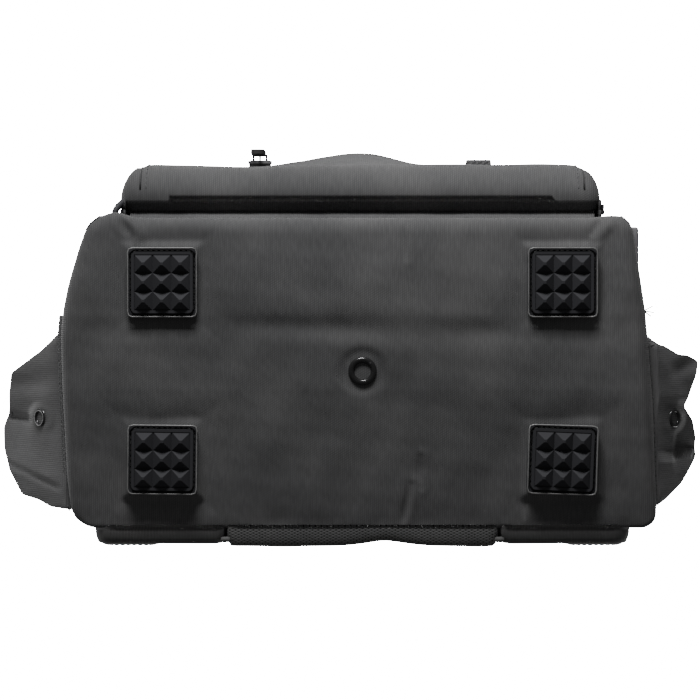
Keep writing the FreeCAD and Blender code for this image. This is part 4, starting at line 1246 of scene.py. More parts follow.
@dataclass
class Feet:
    """The four moulded feet and the stitches in their grooves."""

    groove_half: float = 17.2
    stitch_z: float = 6.2
    rim_half: float = 18.5
    rim_z: float = 4.35
    corner: float = 3.6

    def build(self) -> None:
        """Dresses the feet and sews them on."""
        for row in ("front", "back"):
            for side in Side:
                name = f"foot_{row}_{side.word}"
                dress_node(name, RUBBER)
                self.sew(name)

    def sew(self, name: str) -> None:
        """Stitches round one foot, turned as the foot is.

        Args:
            name: Node name of the foot.
        """
        low, high = span(name)
        middle = (low + high) / 2
        size = (high - low)[0]
        turn = max(0.0, (size - 38.0) / 38.0)
        g = self.groove_half
        ring = round_polygon([(-g, -g), (g, -g), (g, g), (-g, g)], [self.corner] * 4, 2.0)
        ring = np.concatenate([ring, ring[:1]])
        cos, sin = math.cos(turn), math.sin(turn)
        path = np.stack([ring[:, 0] * cos - ring[:, 1] * sin + middle[0],
                         ring[:, 0] * sin + ring[:, 1] * cos + middle[1],
                         np.full(len(ring), self.stitch_z)], 1)
        normals = np.repeat([[0.0, 0.0, -1.0]], len(path), 0)
        # Painted shade: the near-black thread makes the groove read dark.
        add_stitches(f"{name}_stitches", [(path, normals)], FOOT_THREAD_PAINTED_SHADE, pitch=2.9, length=2.1, radius=0.34)
        r = self.rim_half
        ring = round_polygon([(-r, -r), (r, -r), (r, r), (-r, r)], [self.corner - 1.2] * 4, 2.0)
        rim = np.stack([ring[:, 0] * cos - ring[:, 1] * sin + middle[0], ring[:, 0] * sin + ring[:, 1]
                        * cos + middle[1],
                        np.full(len(ring), self.rim_z)], 1)
        bead = sweep(rim, np.repeat([[0.0, 0.0, -1.0]], len(rim), 0), round_section(0.42, 8), closed=True)
        add_piece(f"{name}_bead", bead, BEAD)


def dress_node(name: str, finish: Finish) -> None:
    """Gives a frame node a finish.

    Args:
        name: Name of the node.
        finish: The finish.
    """
    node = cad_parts[name]
    if not node.material_slots:
        node.data.materials.append(finish.material())
    for slot in node.material_slots:
        slot.material = finish.material()
    LOG.info("%s dressed in %s", name, finish.name)


@dataclass
class Drain:
    """Drain eyelet of the bottom, its washer inside, and the eyelets of the side pockets."""

    def build(self) -> None:
        """Dresses the eyelets and the washer."""
        dress_node("drain_eyelet", NICKEL)
        dress_node("drain_washer", NICKEL)
        dress_node("pocket_eyelets", NICKEL)


# ------------------------------------------------------------------ side pockets

SIGHT_PLANE = 8.0

@dataclass
class SidePocket:
    """Open pocket on one side, with a sloping bottom that folds, and an elastic rim."""

    side: Side
    shell: BodyShell
    wall: float = 2.2
    slope: float = 49.0
    base: float = 15.0
    base_x: float = 160.0
    rim_height: float = 10.0
    left_points: tuple = ((-161.5, -23), (-173, -12), (-190.2, 0.2), (-191.6, 10), (-191.6, 20),
                          (-194.8, 29.5),
                          (-194.1, 41), (-191.2, 52), (-184, 66), (-174.5, 69.3), (-168.2, 73), (-158, 74.5))
    right_points: tuple = ((155.2, -16), (163.4, -13.8), (170.8, -9.4), (176, -9), (181.8, -6), (180.8, 0.5),
                           (177.2, 11), (174.4, 18.6), (179.6, 26.4), (181.4, 35), (181.2, 45), (172.6, 60),
                           (163.8, 69), (156.5, 74))
    sight_distance: float = 1600.0
    sight_middle: tuple = (-6.75, -60.0)
    left_lift: float = 4.0
    right_lift: float = 3.0

    def knots(self) -> Array:
        """Outline points at their own heights: they are given as seen from below, so they lie further out.

        Returns:
            Plan points, to a tenth of a millimetre.
        """
        left = self.side is Side.LEFT
        points = self.left_points if left else self.right_points
        lift = self.left_lift if left else self.right_lift
        middle_x, middle_y = self.sight_middle
        steep = math.tan(math.radians(self.slope))
        found = []
        for seen_x, seen_y in points:
            x = seen_x
            for _ in range(20):
                z = self.base + max(0, abs(x) - self.base_x) * steep + lift
                grown = (self.sight_distance + z - SIGHT_PLANE) / self.sight_distance
                x = (seen_x - middle_x) * grown + middle_x
            found.append((round(x, 1), round((seen_y - middle_y) * grown + middle_y, 1)))
        return np.array(found, float)

    def outline(self, count: int) -> Array:
        """Plan outline of the pocket's lower edge, from front to back."""
        knots = self.knots()
        lengths = np.concatenate([[0], np.cumsum(np.linalg.norm(np.diff(knots, axis=0), axis=1))])
        at = np.linspace(0, lengths[-1], count)
        return np.stack([curve_through(list(zip(lengths, knots[:, k])), at, 5.0) for k in (0, 1)], 1)

    def folds(self, x: Array, y: Array, r: Array) -> Array:
        """How far the sloping bottom is drawn up by its folds."""
        out = np.abs(x) - self.base_x
        if self.side is Side.LEFT:
            tent = np.interp(y, [-14, 27.5, 31, 58, 75], [0, 6.5, 6.2, -1.5, 0])
            sharp = 3.2 * hump(y, 28.5 - 0.12 * (out - 20), 2.2) * smooth(14, 26, out)
            soft = 0.7 * ripple(x, y, 24, 51) + 1.1 * hump(y, 8, 5) * smooth(10, 22, out)
            hem = 1.6 * hump(y, 66 - 0.35 * out, 2.0) * smooth(2, 8, out)
            return (tent * smooth(0, 0.8, r) + sharp + soft * smooth(0, 0.3, r) + hem) * smooth(0, 0.15, r)
        tent = np.interp(y, [-10, 14, 40, 44, 50, 74], [1.5, 0, 5.5, 8.0, 0.5, 0])
        lobe = 5.5 * smooth(171.0, 174.5, np.abs(x) + 0.09 * (y - 30)) * smooth(15, 22, y) * smooth(58, 40, y)
        corner = 2.4 * hump(y + 0.35 * out, 4, 4.5) * smooth(6, 14, out)
        soft = 0.6 * ripple(x, y, 22, 52)
        return (tent * smooth(0, 0.6, r) + lobe + corner + soft) * smooth(0, 0.2, r)

    def seat(self, x: Array, y: Array, z: Array) -> Array:
        """Flattens the cloth to the slope round the pocket's drain eyelet."""
        low, high = span("pocket_eyelets")
        middle_y = (low[1] + high[1]) / 2
        middle_x = abs(low[0]) - 5.0 if self.side is Side.LEFT else high[0] - 5.0
        gap = np.hypot(np.abs(x) - middle_x, y - middle_y)
        plane = self.base + (np.abs(x) - self.base_x) * math.tan(math.radians(self.slope))
        weight = smooth(10.5, 5.5, gap)
        return z * (1 - weight) + (plane + 0.1) * weight

    def build(self) -> None:
        """Builds the cloth, its rim, its stitches and its hem."""
        shell, sign, across = self.shell, self.side.value, 150
        edge = self.outline(across)
        t = np.linspace(0, 1, across)
        y_seam = edge[0, 1] + (edge[-1, 1] - edge[0, 1]) * t
        floor = np.full(across, shell.bottom_z)
        x_seam = sign * (shell.half_width(self.side, y_seam, floor) - 3.0)
        rows = []
        for r in np.linspace(0, 1, 56):
            x = x_seam + (edge[:, 0] - x_seam) * r
            y = y_seam + (edge[:, 1] - y_seam) * r
            z = self.base + np.clip(np.abs(x) - self.base_x, 0, 99) * math.tan(math.radians(self.slope))
            z = np.maximum(z + self.folds(x, y, np.full(across, r)) - 1.6 * math.sin(math.pi * r), self.base)
            rows.append(np.stack([x, y, self.seat(x, y, z)], 1))
        low, high = span(f"side_pocket_{self.side.word}")
        reach = abs(low[0] if self.side is Side.LEFT else high[0]) - self.base_x
        top = high[2]
        stand = np.abs(edge[:, 0]) - shell.half_width(self.side, edge[:, 1], floor)
        rim_y = low[1] + (high[1] - low[1]) * smooth(-0.02, 1.02, t)
        rim_stand = (reach - 3.0) * round_edge(np.minimum(t, 1 - t) * 100, 46.0)
        crest = rows[-1][:, 2]
        for s in np.linspace(0, 1, 62)[1:]:
            turn = smooth(0, 0.7, s)
            y = edge[:, 1] + (rim_y - edge[:, 1]) * turn
            z = crest + (top - crest) * s
            belly = 2.5 * math.sin(math.pi * s) + 0.9 * ripple(t * 150, z, 34,
                                                               53) * math.sin(math.pi * min(1, s * 1.3))
            out = stand * (1 - turn) + rim_stand * turn + belly * round_edge(np.minimum(t, 1 - t) * 100, 12)
            gather = 0.7 * np.sin(t * 95) * smooth(0.8, 1, s)
            x = sign * (shell.half_width(self.side, y, z) + out + gather - 0.5)
            rows.append(np.stack([x, y, z], 1))
        grid = np.array(rows)
        mesh = thick_sheet(grid, self.wall, np.array([sign * 165.0, 26, 160]))
        count = (grid.shape[0] - 1) * (grid.shape[1] - 1)
        name = self.side.word
        add_piece(f"pocket_cloth_{name}", mesh, SHELL, stands_for=[f"side_pocket_{name}"], inner=LINING,
                  outer_faces=count)
        self.build_rim(grid[-1], name)
        normals = grid_normals(grid)
        normals *= np.sign(np.sum(normals * (grid - np.array([sign * 160.0, 26, 120]))))
        lines = [(grid[k] + normals[k] * 0.1, normals[k]) for k in (-4, -6)]
        lines.append((grid[4:-6, 5] + normals[4:-6, 5] * 0.1, normals[4:-6, 5]))
        lines.append((grid[4:-6, -6] + normals[4:-6, -6] * 0.1, normals[4:-6, -6]))
        add_stitches(f"pocket_stitches_{name}", lines, THREAD)

    def build_rim(self, top_row: Array, name: str) -> None:
        """Gathered elastic band along the pocket's mouth.

        Args:
            top_row: The cloth's top edge.
            name: Side's name.
        """
        path, = resample(top_row, 1.6)
        wave = 0.5 * np.sin(np.arange(len(path)) * 1.25)
        facing = unit(np.cross(np.gradient(path, axis=0), [0.0, 0.0, 1.0]))
        facing *= np.sign(np.sum(facing[:, 0]) * self.side.value)
        middle = path + facing * (wave[:, None] * 0.7 - 1.0) + [0, 0, self.rim_height / 2]
        band = sweep(middle, facing, flat_section(self.rim_height, 3.4), scale=1 + 0.03 * wave)
        add_piece(f"pocket_elastic_{name}", band, BINDING, stands_for=[f"pocket_binding_{name}"])


# ------------------------------------------------------------------ front door

@dataclass
class FrontDoor:
    """Door panel, front pocket, both zips and the fabric hinge under the door."""

    shell: BodyShell
    pocket_radius: float = 17.0
    pocket_depth: float = 20.2
    bulge: float = 12.6
    tuck: float = 7.6
    underside_y: float = 98.0
    seam_x: float = 123.5
    seam_gap: float = 3.2
    tooth_pitch: float = 1.5
    tooth_radius: float = 0.72

    def __post_init__(self) -> None:
        """Reads the places of the door's pieces."""
        door_low, door_high = span("door_panel")
        self.door_y, self.back_y = float(door_low[1]), float(door_high[1])
        pocket_low, pocket_high = span("front_pocket")
        self.pocket_low, self.pocket_high = pocket_low, pocket_high
        zip_low, zip_high = span("pocket_zip")
        self.zip_z = float((zip_low[2] + zip_high[2]) / 2)
        self.zip_half = float((zip_high[0] - zip_low[0]) / 2)
        self.zip_y = float(span("main_zip_door")[1][1])

    def pocket_rise(self, d: Array, x: Array, z: Array) -> Array:
        """How far the pocket's cloth stands off the door."""
        full = self.pocket_depth * round_edge(d, self.pocket_radius)
        lift = (0.14 + 0.86 * hump(x, -5, 36)) * smooth(66, 140, z) * smooth(self.pocket_high[2], 330, z)
        seam = 0.9 * hump(np.abs(x) + self.shell.narrow(z), self.seam_x, 1.3) * smooth(40, 44, z)
        sag = 1.5 * ripple(x, z, 120, 61) + 0.6 * ripple(x, z, 45, 62) + 0.18 * ripple(x, z, 16, 63)
        dents = 0.5 * np.sin(z / 5.5) * hump(np.abs(x), 126, 6) * smooth(8, 2, np.abs(d - 6))
        welt = -1.0 * hump(z, self.zip_z, 4.5) * (np.abs(x) < self.zip_half)
        pinch = -0.5 * np.sin(x / 6.0) * hump(z, 46, 5) * 0.4
        return np.maximum(full + (self.bulge * lift + sag * smooth(4, 26, d) + welt) * smooth(0, 14, d)
                          - seam + dents + pinch * smooth(2, 9, d), 0.0)

    def make_panel(self) -> None:
        """Door panel, padded, with its edge stitched."""
        outline = self.shell.arch(-1.5, self.shell.door_bottom + 9, 4.0)
        low = np.stack([np.linspace(outline[-1, 0], outline[0, 0], 50)[1:-1], np.full(48, outline[0, 1])], 1)
        outline = np.concatenate([outline, low])
        middle = (self.door_y + self.back_y) / 2

        def place(u: Array, v: Array, w: Array) -> Array:
            """Points of the door; height goes to the front."""
            return np.stack([u, middle - w, v], -1)

        mesh = pillow(outline, lambda d, u, v: 2.4 * round_edge(d, 3.0) + 0.2 * ripple(u, v, 40, 64),
                      lambda d, u, v: -2.3 * round_edge(d, 3.0), place, 3.0, 6.0)
        add_piece("door_cloth", mesh, SHELL, body="door", stands_for=["door_panel"])
        ring = self.shell.arch(-7.0, self.shell.door_bottom + 6)
        path = np.stack([ring[:, 0], np.full(len(ring), self.door_y - 0.1), ring[:, 1]], 1)
        normal = np.repeat([[0.0, -1.0, 0.0]], len(path), 0)
        path2 = path + [0, 0, 0]
        path2[:, [0, 2]] = self.shell.arch(-9.5, self.shell.door_bottom + 6)[
            np.linspace(0, len(self.shell.arch(-9.5, self.shell.door_bottom + 6)) - 1, len(path)).astype(int)]
        add_stitches("door_stitches", [(path, normal), (path2, normal)], THREAD, body="door")

    def make_pocket(self) -> Array:
        """Front pocket as one puffed form with its side seams, and piping round it.

        Returns:
            Outline of the pocket, across and up.
        """
        low, high = self.pocket_low, self.pocket_high
        half = float(high[0]) + 2.4
        top_half = float(high[0]) + 0.6 - float(self.shell.narrow(high[2]))
        corners = [(-half - 1.0, low[2] - 0.6), (half - 1.0, low[2] - 0.6), (top_half, high[2]),
                   (-top_half, high[2])]
        outline = round_polygon(corners, [9, 9, 40, 40], 2.2)

        def place(u: Array, v: Array, w: Array) -> Array:
            """Points of the pocket; height goes to the front, and the underside rises to the body."""
            y = self.door_y - w
            lift = np.clip((y + self.underside_y) / 15, 0, 1.2) ** 2
            return np.stack([u, y, v + 5.0 * lift * smooth(72, 45, v)], -1)

        def drop(d: Array, u: Array, v: Array) -> Array:
            """Lower edge tucked in towards the body."""
            return -self.tuck * round_edge(d, 9) * smooth(60, 48, v)

        mesh = pillow(outline, self.pocket_rise, drop, place, self.pocket_radius, 2.4)
        add_piece("front_pocket_cloth", mesh, SHELL, body="door", stands_for=["front_pocket"])
        cords, rows = [], []
        for sign in (-1, 1):
            z = np.linspace(low[2] + 0.2, high[2] - 26, 190)
            x = sign * (self.seam_x - self.shell.narrow(z))
            d = edge_distance(np.stack([x, z], 1), outline)
            y = self.door_y - self.pocket_rise(d, x, z)
            path = np.stack([x, y, z], 1)
            normal = unit(np.stack([sign * 0.35 + 0 * z, -np.ones(len(z)), -0.9 * smooth(60, 38, z)], 1))
            cords.append(sweep(path, normal, round_section(0.55, 6)))
            xs = x - sign * self.seam_gap
            ds = edge_distance(np.stack([xs, z], 1), outline)
            rows.append((np.stack([xs, self.door_y - self.pocket_rise(ds, xs, z) - 0.1, z], 1), normal))
        # Seam cords in the near-black tape finish, darker than the cloth: real cords, coloured as painted
        # shade of the seam grooves.
        add_piece("pocket_seam_cords", merge(cords), TAPE, body="door")
        x = np.linspace(-self.zip_half - 6, self.zip_half + 6, 120)
        for z0 in (self.zip_z - 7.5, self.zip_z - 10.5, self.zip_z + 7.5):
            z = np.full(len(x), z0)
            d = edge_distance(np.stack([x, z], 1), outline)
            rows.append((np.stack([x, self.door_y - self.pocket_rise(d, x, z) - 0.1, z], 1),
                         np.repeat([[0.0, -1.0, 0.0]], len(x), 0)))
        add_stitches("front_pocket_stitches", rows, THREAD, body="door")
        start = int(np.argmin(np.hypot(outline[:, 0] - half, outline[:, 1] - 70)))
        rim = np.roll(outline, -start, axis=0)
        rim = rim[:int(np.argmin(np.hypot(rim[:, 0] + half, rim[:, 1] - 70))) + 1]
        path = np.stack([rim[:, 0], np.full(len(rim), self.door_y - 0.6), rim[:, 1]], 1)
        piping = sweep(path, np.repeat([[0.0, -1.0, 0.0]], len(rim), 0), round_section(1.3, 8))
        add_piece("front_pocket_piping", piping, SHELL, body="door")
        return outline

    def teeth(self, path: Array, normals: Array, across: Array, shift: float) -> Mesh:
        """Half of a coil zip along a path.

        Args:
            path: Middle line of the zip.
            normals: Directions that the coil stands out in.
            across: Directions from this half to the other.
            shift: Distance from the middle line to this half's coil.

        Returns:
            The coil's turns as one mesh.
        """
        places, facing, side = resample(path, self.tooth_pitch, normals, across)
        if shift < 0:
            places = (places[:-1] + places[1:]) / 2
            facing, side = facing[:-1], side[:-1]
        along = unit(side)
        up = unit(facing)
        return stamp(capsule(3.1, self.tooth_radius), places + along * shift, along, np.cross(up, along), up)

    def make_main_zip(self) -> None:
        """Tapes and coils of the main zip: one half on the body, one on the door."""
        arch = self.shell.arch(0.0, self.shell.door_bottom, 2.0)
        flat = np.stack([arch[:, 0], np.zeros(len(arch)), arch[:, 1]], 1)
        along = unit(np.gradient(flat, axis=0))
        facing = unit(np.cross(along, [0.0, 1.0, 0.0]))
        facing *= np.sign(np.sum(facing * (flat - [0, 0, 200])))
        across = np.repeat([[0.0, 1.0, 0.0]], len(flat), 0)
        for body, sign, node in (("bag", 1, "main_zip_body"), ("door", -1, "main_zip_door")):
            low, high = span(node)
            middle = (low[1] + high[1]) / 2
            tape = sweep(flat + [0, middle, 0] - facing * 0.7, facing,
                         flat_section(high[1] - low[1] + 0.8, 1.3))
            add_piece(f"{node}_tape", tape, TAPE, body=body)
            coil = self.teeth(flat + [0, self.zip_y, 0] + facing * 0.9, facing, across, sign * 1.45)
            add_piece(f"{node}_coil", coil, COIL, body=body, stands_for=[node])
        for name in ("main_slider_left", "main_slider_right", "pocket_slider"):
            dress_node(name, ENAMEL)
        for name in ("main_pull_left", "main_pull_right", "pocket_pull"):
            dress_node(name, PULL)
        t = np.linspace(0, 1, 26)[:, None]
        start, end = np.array([-131.6, -92.5, 38.0]), np.array([-136.2, -84.2, 33.0])
        path = start * (1 - t) + end * t + np.array([-1.2, 0, -1.6]) * np.sin(math.pi * t)
        ribs = 1 + 0.13 * np.cos(np.arange(26) * math.pi)
        stub = sweep(path, np.repeat([[-0.6, 0.0, -0.8]], 26, 0), round_section(1.75, 10), scale=ribs)
        self.join(add_piece("main_zip_end", stub, COIL, body=""))

    def make_pocket_zip(self, outline: Array) -> None:
        """Tape, coil and slider seat of the front pocket's zip, and the webbing tab beside it.

        Args:
            outline: Outline of the pocket, across and up.
        """
        x = np.linspace(-self.zip_half, self.zip_half, 120)
        z = np.full(len(x), self.zip_z)
        d = edge_distance(np.stack([x, z], 1), outline)
        y = self.door_y - self.pocket_rise(d, x, z)
        path = np.stack([x, y - 0.35, z], 1)
        facing = np.repeat([[0.0, -1.0, 0.0]], len(x), 0)
        add_piece("pocket_zip_tape", sweep(path, facing, flat_section(12.0, 1.2)), TAPE, body="door")
        across = np.repeat([[0.0, 0.0, 1.0]], len(x), 0)
        lift = path + [0, -1.0, 0]
        coil = merge([self.teeth(lift, facing, across, 1.3), self.teeth(lift, facing, across, -1.3)])
        add_piece("pocket_zip_coil", coil, COIL, body="door", stands_for=["pocket_zip"])
        low, high = span("pocket_slider")
        seat = block([low[0] + 0.5, high[1] - 2.0, low[2] + 0.3],
                     [high[0] - 0.5, high[1] + 2.6, high[2] - 0.3], 1.4, 2.0)
        add_piece("pocket_slider_lips", seat, ENAMEL, body="pocket_slider")
        low, high = span("front_tab")
        middle = (low[0] + high[0]) / 2
        y0 = self.door_y - self.pocket_depth - 0.6
        loop = [(y0 + 1.5, high[2] + 3), (y0 - 0.6, high[2]), (y0 - 1.8, high[2] - 5), (y0 - 2.0, low[2] + 4),
                (y0 - 1.2, low[2] + 1), (y0 + 0.6, low[2] + 0.5)]
        s = np.linspace(0, 5, 40)
        line = np.stack([np.full(40, middle), np.interp(s, range(6), [p[0] for p in loop]),
                         np.interp(s, range(6), [p[1] for p in loop])], 1)
        tab = sweep(line, np.repeat([[0.0, -1.0, 0.05]], 40, 0), flat_section(high[0] - low[0], 1.7))
        add_piece("front_tab_webbing", tab, WEBBING, body="door", stands_for=["front_tab"])

    def make_hinge(self) -> None:
        """Strip of cloth that joins the door's lower edge to the body, attached to neither body."""
        half = self.shell.door_low_half - 5.0
        x = np.linspace(-half, half, 100)
        t = np.linspace(0, 1, 16)
        start = np.array([self.shell.front_y + 1.5, self.shell.door_bottom + 1.0])
        end = np.array([self.back_y - 0.6, self.shell.door_bottom + 9.0])
        tt, xx = np.meshgrid(t, x, indexing="ij")
        y = start[0] + (end[0] - start[0]) * tt
        z = start[1] + (end[1] - start[1]) * tt - 1.4 * np.sin(math.pi * tt) + 0.25 * ripple(xx, y, 24, 66)
        grid = np.stack([xx, y, z], -1)
        self.join(add_piece("door_hinge_cloth", thick_sheet(grid, 1.2, np.array([0, -88, 60.0])), SHELL,
                            body=""))

    def join(self, piece: bpy.types.Object) -> None:
        """Bakes a piece's placement into its points; the piece is attached to no body.

        Args:
            piece: The piece.
        """
        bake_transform(piece)

    def build(self) -> None:
        """Builds the whole front."""
        self.make_panel()
        outline = self.make_pocket()
        self.make_main_zip()
        self.make_pocket_zip(outline)
        self.make_hinge()


# ------------------------------------------------------------------ back and harness

@dataclass
class BackPadding:
    """Three pads of the back: open mesh in the middle and smooth cloth at the sides."""

    shell: BodyShell
    channel: float = 2.8
    channel_x: float = 12.0
    overhang: float = 2.8
    grooves: tuple = (92.0, 172.0, 252.0, 332.0)

    def place(self, u: Array, v: Array, w: Array) -> Array:
        """Points of a back pad; height goes outwards."""
        return np.stack([u, self.shell.back_y + 0.4 + w, v], -1)

    def rise(self, thickness: float, seed: int, channel: float) -> Callable:
        """Height of a pad's face.

        Args:
            thickness: Full thickness.
            seed: Seed of its unevenness.
            channel: Depth of the hollow along the spine.

        Returns:
            A function of edge distance, u and v.
        """

        def height(d: Array, u: Array, v: Array) -> Array:
            """Rounded edge, sewn grooves and the spine's hollow."""
            sewn = sum(hump(v, g, 3.5) for g in self.grooves) * smooth(3, 12, d)
            spine = channel * hump(u, self.channel_x, 16) + 0.6 * channel * hump(u, self.channel_x, 5) * 0.2
            body = (thickness - 2.2 * sewn - spine) * (0.84 * round_edge(d, 2.6) + 0.16 * round_edge(d, 9))
            return body + 0.5 * ripple(u, v, 40, seed) * smooth(2, 12, d)

        return height

    def build(self) -> None:
        """Builds the pads and the double seams between them."""
        low, high = span("back_pad_center")
        foot = low[2] - self.overhang
        outline = round_polygon([(low[0], foot), (high[0], foot), (high[0], high[2]), (low[0], high[2])],
                                [3] * 4, 3.2)
        centre = pillow(outline, self.rise(12.4, 71, self.channel), lambda d, u, v: 0.0 * d, self.place,
                        2.6, 3.4)
        add_piece("back_pad_mesh", centre, MESH, stands_for=["back_pad_center"])
        rows = []
        for side in Side:
            low, high = span(f"back_pad_{side.word}")
            inner, outer = sorted((abs(low[0]), abs(high[0])))
            top = outer - self.shell.narrow(high[2])
            foot = low[2] - self.overhang
            corners = [(side.value * inner, foot), (side.value * outer, foot), (side.value * top, high[2]),
                       (side.value * inner, high[2])]
            outline = round_polygon(corners, [3, 12, 46, 3], 3.2)
            pad = pillow(outline, self.rise(11.0, 72 + side.value, 0.0), lambda d, u, v: 0.0 * d,
                         self.place, 2.6, 3.4)
            add_piece(f"back_pad_cloth_{side.word}", pad, BACK,
                                stands_for=[f"back_pad_{side.word}"])
            for x, lift in ((inner - 3.0, 10.9), (inner + 3.6, 9.8)):
                z = np.linspace(low[2] + 1.5, high[2] - 6, 160)
                wave = 0.15 * np.sin(z / 9)
                y = self.shell.back_y + 0.4 + lift - 1.6 * sum(hump(z, g, 3.5) for g in self.grooves)
                y = y - 3.5 * smooth(low[2] + 8, low[2], z)
                path = np.stack([side.value * x + wave, y, z], 1)
                rows.append((path, np.repeat([[0.0, 1.0, 0.0]], len(z), 0)))
            path = np.stack([np.full(60, side.value * inner), np.full(60, self.shell.back_y + 8.6),
                             np.linspace(low[2] - self.overhang + 0.6, high[2] - 3, 60)], 1)
            seam = sweep(path, np.repeat([[0.0, 1.0, 0.0]], 60, 0), flat_section(5.4, 3.0))
            add_piece(f"back_seam_{side.word}", seam, BACK)
        for groove in self.grooves:
            x = np.linspace(-66, 66, 60)
            y = self.shell.back_y + 0.4 + 8.5 - self.channel * hump(x, self.channel_x, 16)
            rows.append((np.stack([x, y, np.full(60, groove)], 1), np.repeat([[0.0, 1.0, 0.0]], 60, 0)))
        add_stitches("back_pad_stitches", rows, BACK_THREAD)


@dataclass
class Harness:
    """Shoulder straps with their webbing, locks, wings and the yoke above them."""

    shell: BodyShell
    centres: tuple = ((148, 80), (200, 88), (250, 92), (300, 93), (350, 78), (408, 47))
    halves: tuple = ((148, 19.5), (200, 25), (250, 29), (300, 30), (350, 27), (408, 26.5))

    def strap_grid(self, side: Side) -> Array:
        """Cross-sections of a shoulder strap from its lower end to its top.

        Args:
            side: Which strap.

        Returns:
            The rings of points.
        """
        low, high = span(f"shoulder_strap_{side.word}")
        z = np.concatenate([low[2] + 9 * (1 - np.cos(np.linspace(0, math.pi / 2, 7))),
                            np.linspace(low[2] + 11, high[2] - 3, 110), [high[2] - 1.2, high[2] - 0.3]])
        middle = curve_through(self.centres, z, 40.0)
        half = curve_through(self.halves, z, 40.0) * (0.42 + 0.58 * round_edge(z - low[2], 9))
        half = half * (0.9 + 0.1 * round_edge(high[2] - z, 3))
        thick = (high[1] - low[1]) / 2 - 0.3
        body = thick * (0.35 + 0.65 * round_edge(np.minimum(z - low[2], high[2] - z), 6))
        angles = np.linspace(0, 2 * math.pi, 36, endpoint=False)
        across = np.sign(np.cos(angles)) * np.abs(np.cos(angles)) ** 0.72
        lift = np.sign(np.sin(angles)) * np.abs(np.sin(angles)) ** 0.55
        rings = []
        for k, level in enumerate(z):
            puff = 1 + 0.05 * np.sin(level / 9.0) * (np.abs(across) < 0.9)
            x = side.value * (middle[k] + across * half[k])
            y = (low[1] + high[1]) / 2 + lift * body[k] * puff
            rings.append(np.stack([x, y, np.full(len(angles), level)], 1))
        return np.array(rings)

    def make_strap(self, side: Side) -> None:
        """One padded strap with its bound edges and stitching."""
        rings = self.strap_grid(side)
        rows, count = rings.shape[:2]
        faces = grid_faces(rows, count, wrap=True)
        faces.append(tuple(range(count)))
        faces.append(tuple((rows - 1) * count + i for i in reversed(range(count))))
        name = side.word
        mesh = outward((rings.reshape(-1, 3), faces))
        strap = add_piece(f"strap_padding_{name}", mesh, BACK, stands_for=[f"shoulder_strap_{name}"])
        bands, lines = [], []
        for column, out in ((0, 1.0), (count // 2, -1.0)):
            path = rings[3:-2, column]
            facing = np.repeat([[side.value * out, 0.0, 0.0]], len(path), 0)
            bands.append(sweep(path, facing, flat_section(7.6, 2.0)))
        add_piece(f"strap_binding_{name}", merge(bands), WEBBING)
        for share in (-0.74, 0.74):
            path = rings[6:-3].mean(axis=1)
            half = (rings[6:-3, 0, 0] - rings[6:-3, count // 2, 0]) / 2
            path[:, 0] += half * share
            path[:, 1] = rings[6:-3, :, 1].max(axis=1) - 0.5
            lines.append((path, np.repeat([[0.0, 1.0, 0.0]], len(path), 0)))
        add_stitches(f"strap_stitches_{name}", lines, BACK_THREAD)

    def make_webbing(self, side: Side) -> None:
        """Adjusting webbing, its sewn wing and the dressed lock of one side."""
        name, sign = side.word, side.value
        low, high = span(f"strap_webbing_{name}")
        width = 25.0
        inner = min(abs(low[0]), abs(high[0])) + width / 2
        outer = max(abs(low[0]), abs(high[0])) - width / 2 * 0.8
        y = (low[1] + high[1]) / 2
        t = np.linspace(0, 1, 40)
        x = outer + (inner - outer) * t
        z = (low[2] + 7) + (high[2] - low[2] - 7) * t
        path = np.stack([sign * x, y + 0.8 * np.sin(math.pi * t), z], 1)
        facing = np.repeat([[0.0, 1.0, 0.0]], 40, 0)
        add_piece(f"adjusting_webbing_{name}", sweep(path, facing, flat_section(width, 1.7)), WEBBING,
                  stands_for=[f"strap_webbing_{name}"])
        low, high = span(f"strap_wing_{name}")
        a, b = sorted((abs(low[0]), abs(high[0])))
        corners = [(sign * (a + 8), low[2]), (sign * b, low[2]), (sign * b, high[2]), (sign * a, high[2] - 8)]
        outline = round_polygon(corners, [5, 5, 8, 5], 2.5)
        base = (low[1] + high[1]) / 2

        def place(u: Array, v: Array, w: Array) -> Array:
            """Points of the wing; height goes outwards."""
            return np.stack([u, base + w, v], -1)

        wing = pillow(outline, lambda d, u, v: 1.2 * round_edge(d, 1.6), lambda d, u,
                      v: -0.9 * round_edge(d, 1.6),
                      place, 1.6, 3.0)
        add_piece(f"wing_cloth_{name}", wing, BACK, stands_for=[f"strap_wing_{name}"])
        inset = round_polygon([(c[0] + (2.6 if c[0] < (a + b) / 2 * sign else -2.6),
                                c[1] + (2.6 if c[1] < 50 else -2.6))
                               for c in corners], [3, 3, 5, 3], 2.5)
        ring = np.concatenate([inset, inset[:1]])
        path = np.stack([ring[:, 0], np.full(len(ring), base + 1.25), ring[:, 1]], 1)
        add_stitches(f"wing_stitches_{name}", [(path, np.repeat([[0.0, 1.0, 0.0]], len(path), 0))],
                     BACK_THREAD)
        dress_node(f"ladder_lock_{name}", PLASTIC)

    def make_yoke(self) -> None:
        """Patch that covers the straps' upper ends, sewn round its edge."""
        low, high = span("strap_yoke")
        outline = round_polygon([(low[0], low[2]), (high[0], low[2]), (high[0] - 1, high[2]),
                                 (low[0] + 1, high[2])],
                                [3, 3, 9, 9], 2.6)

        def place(u: Array, v: Array, w: Array) -> Array:
            """Points of the yoke; height goes outwards."""
            return np.stack([u, high[1] - 3.0 + w, v], -1)

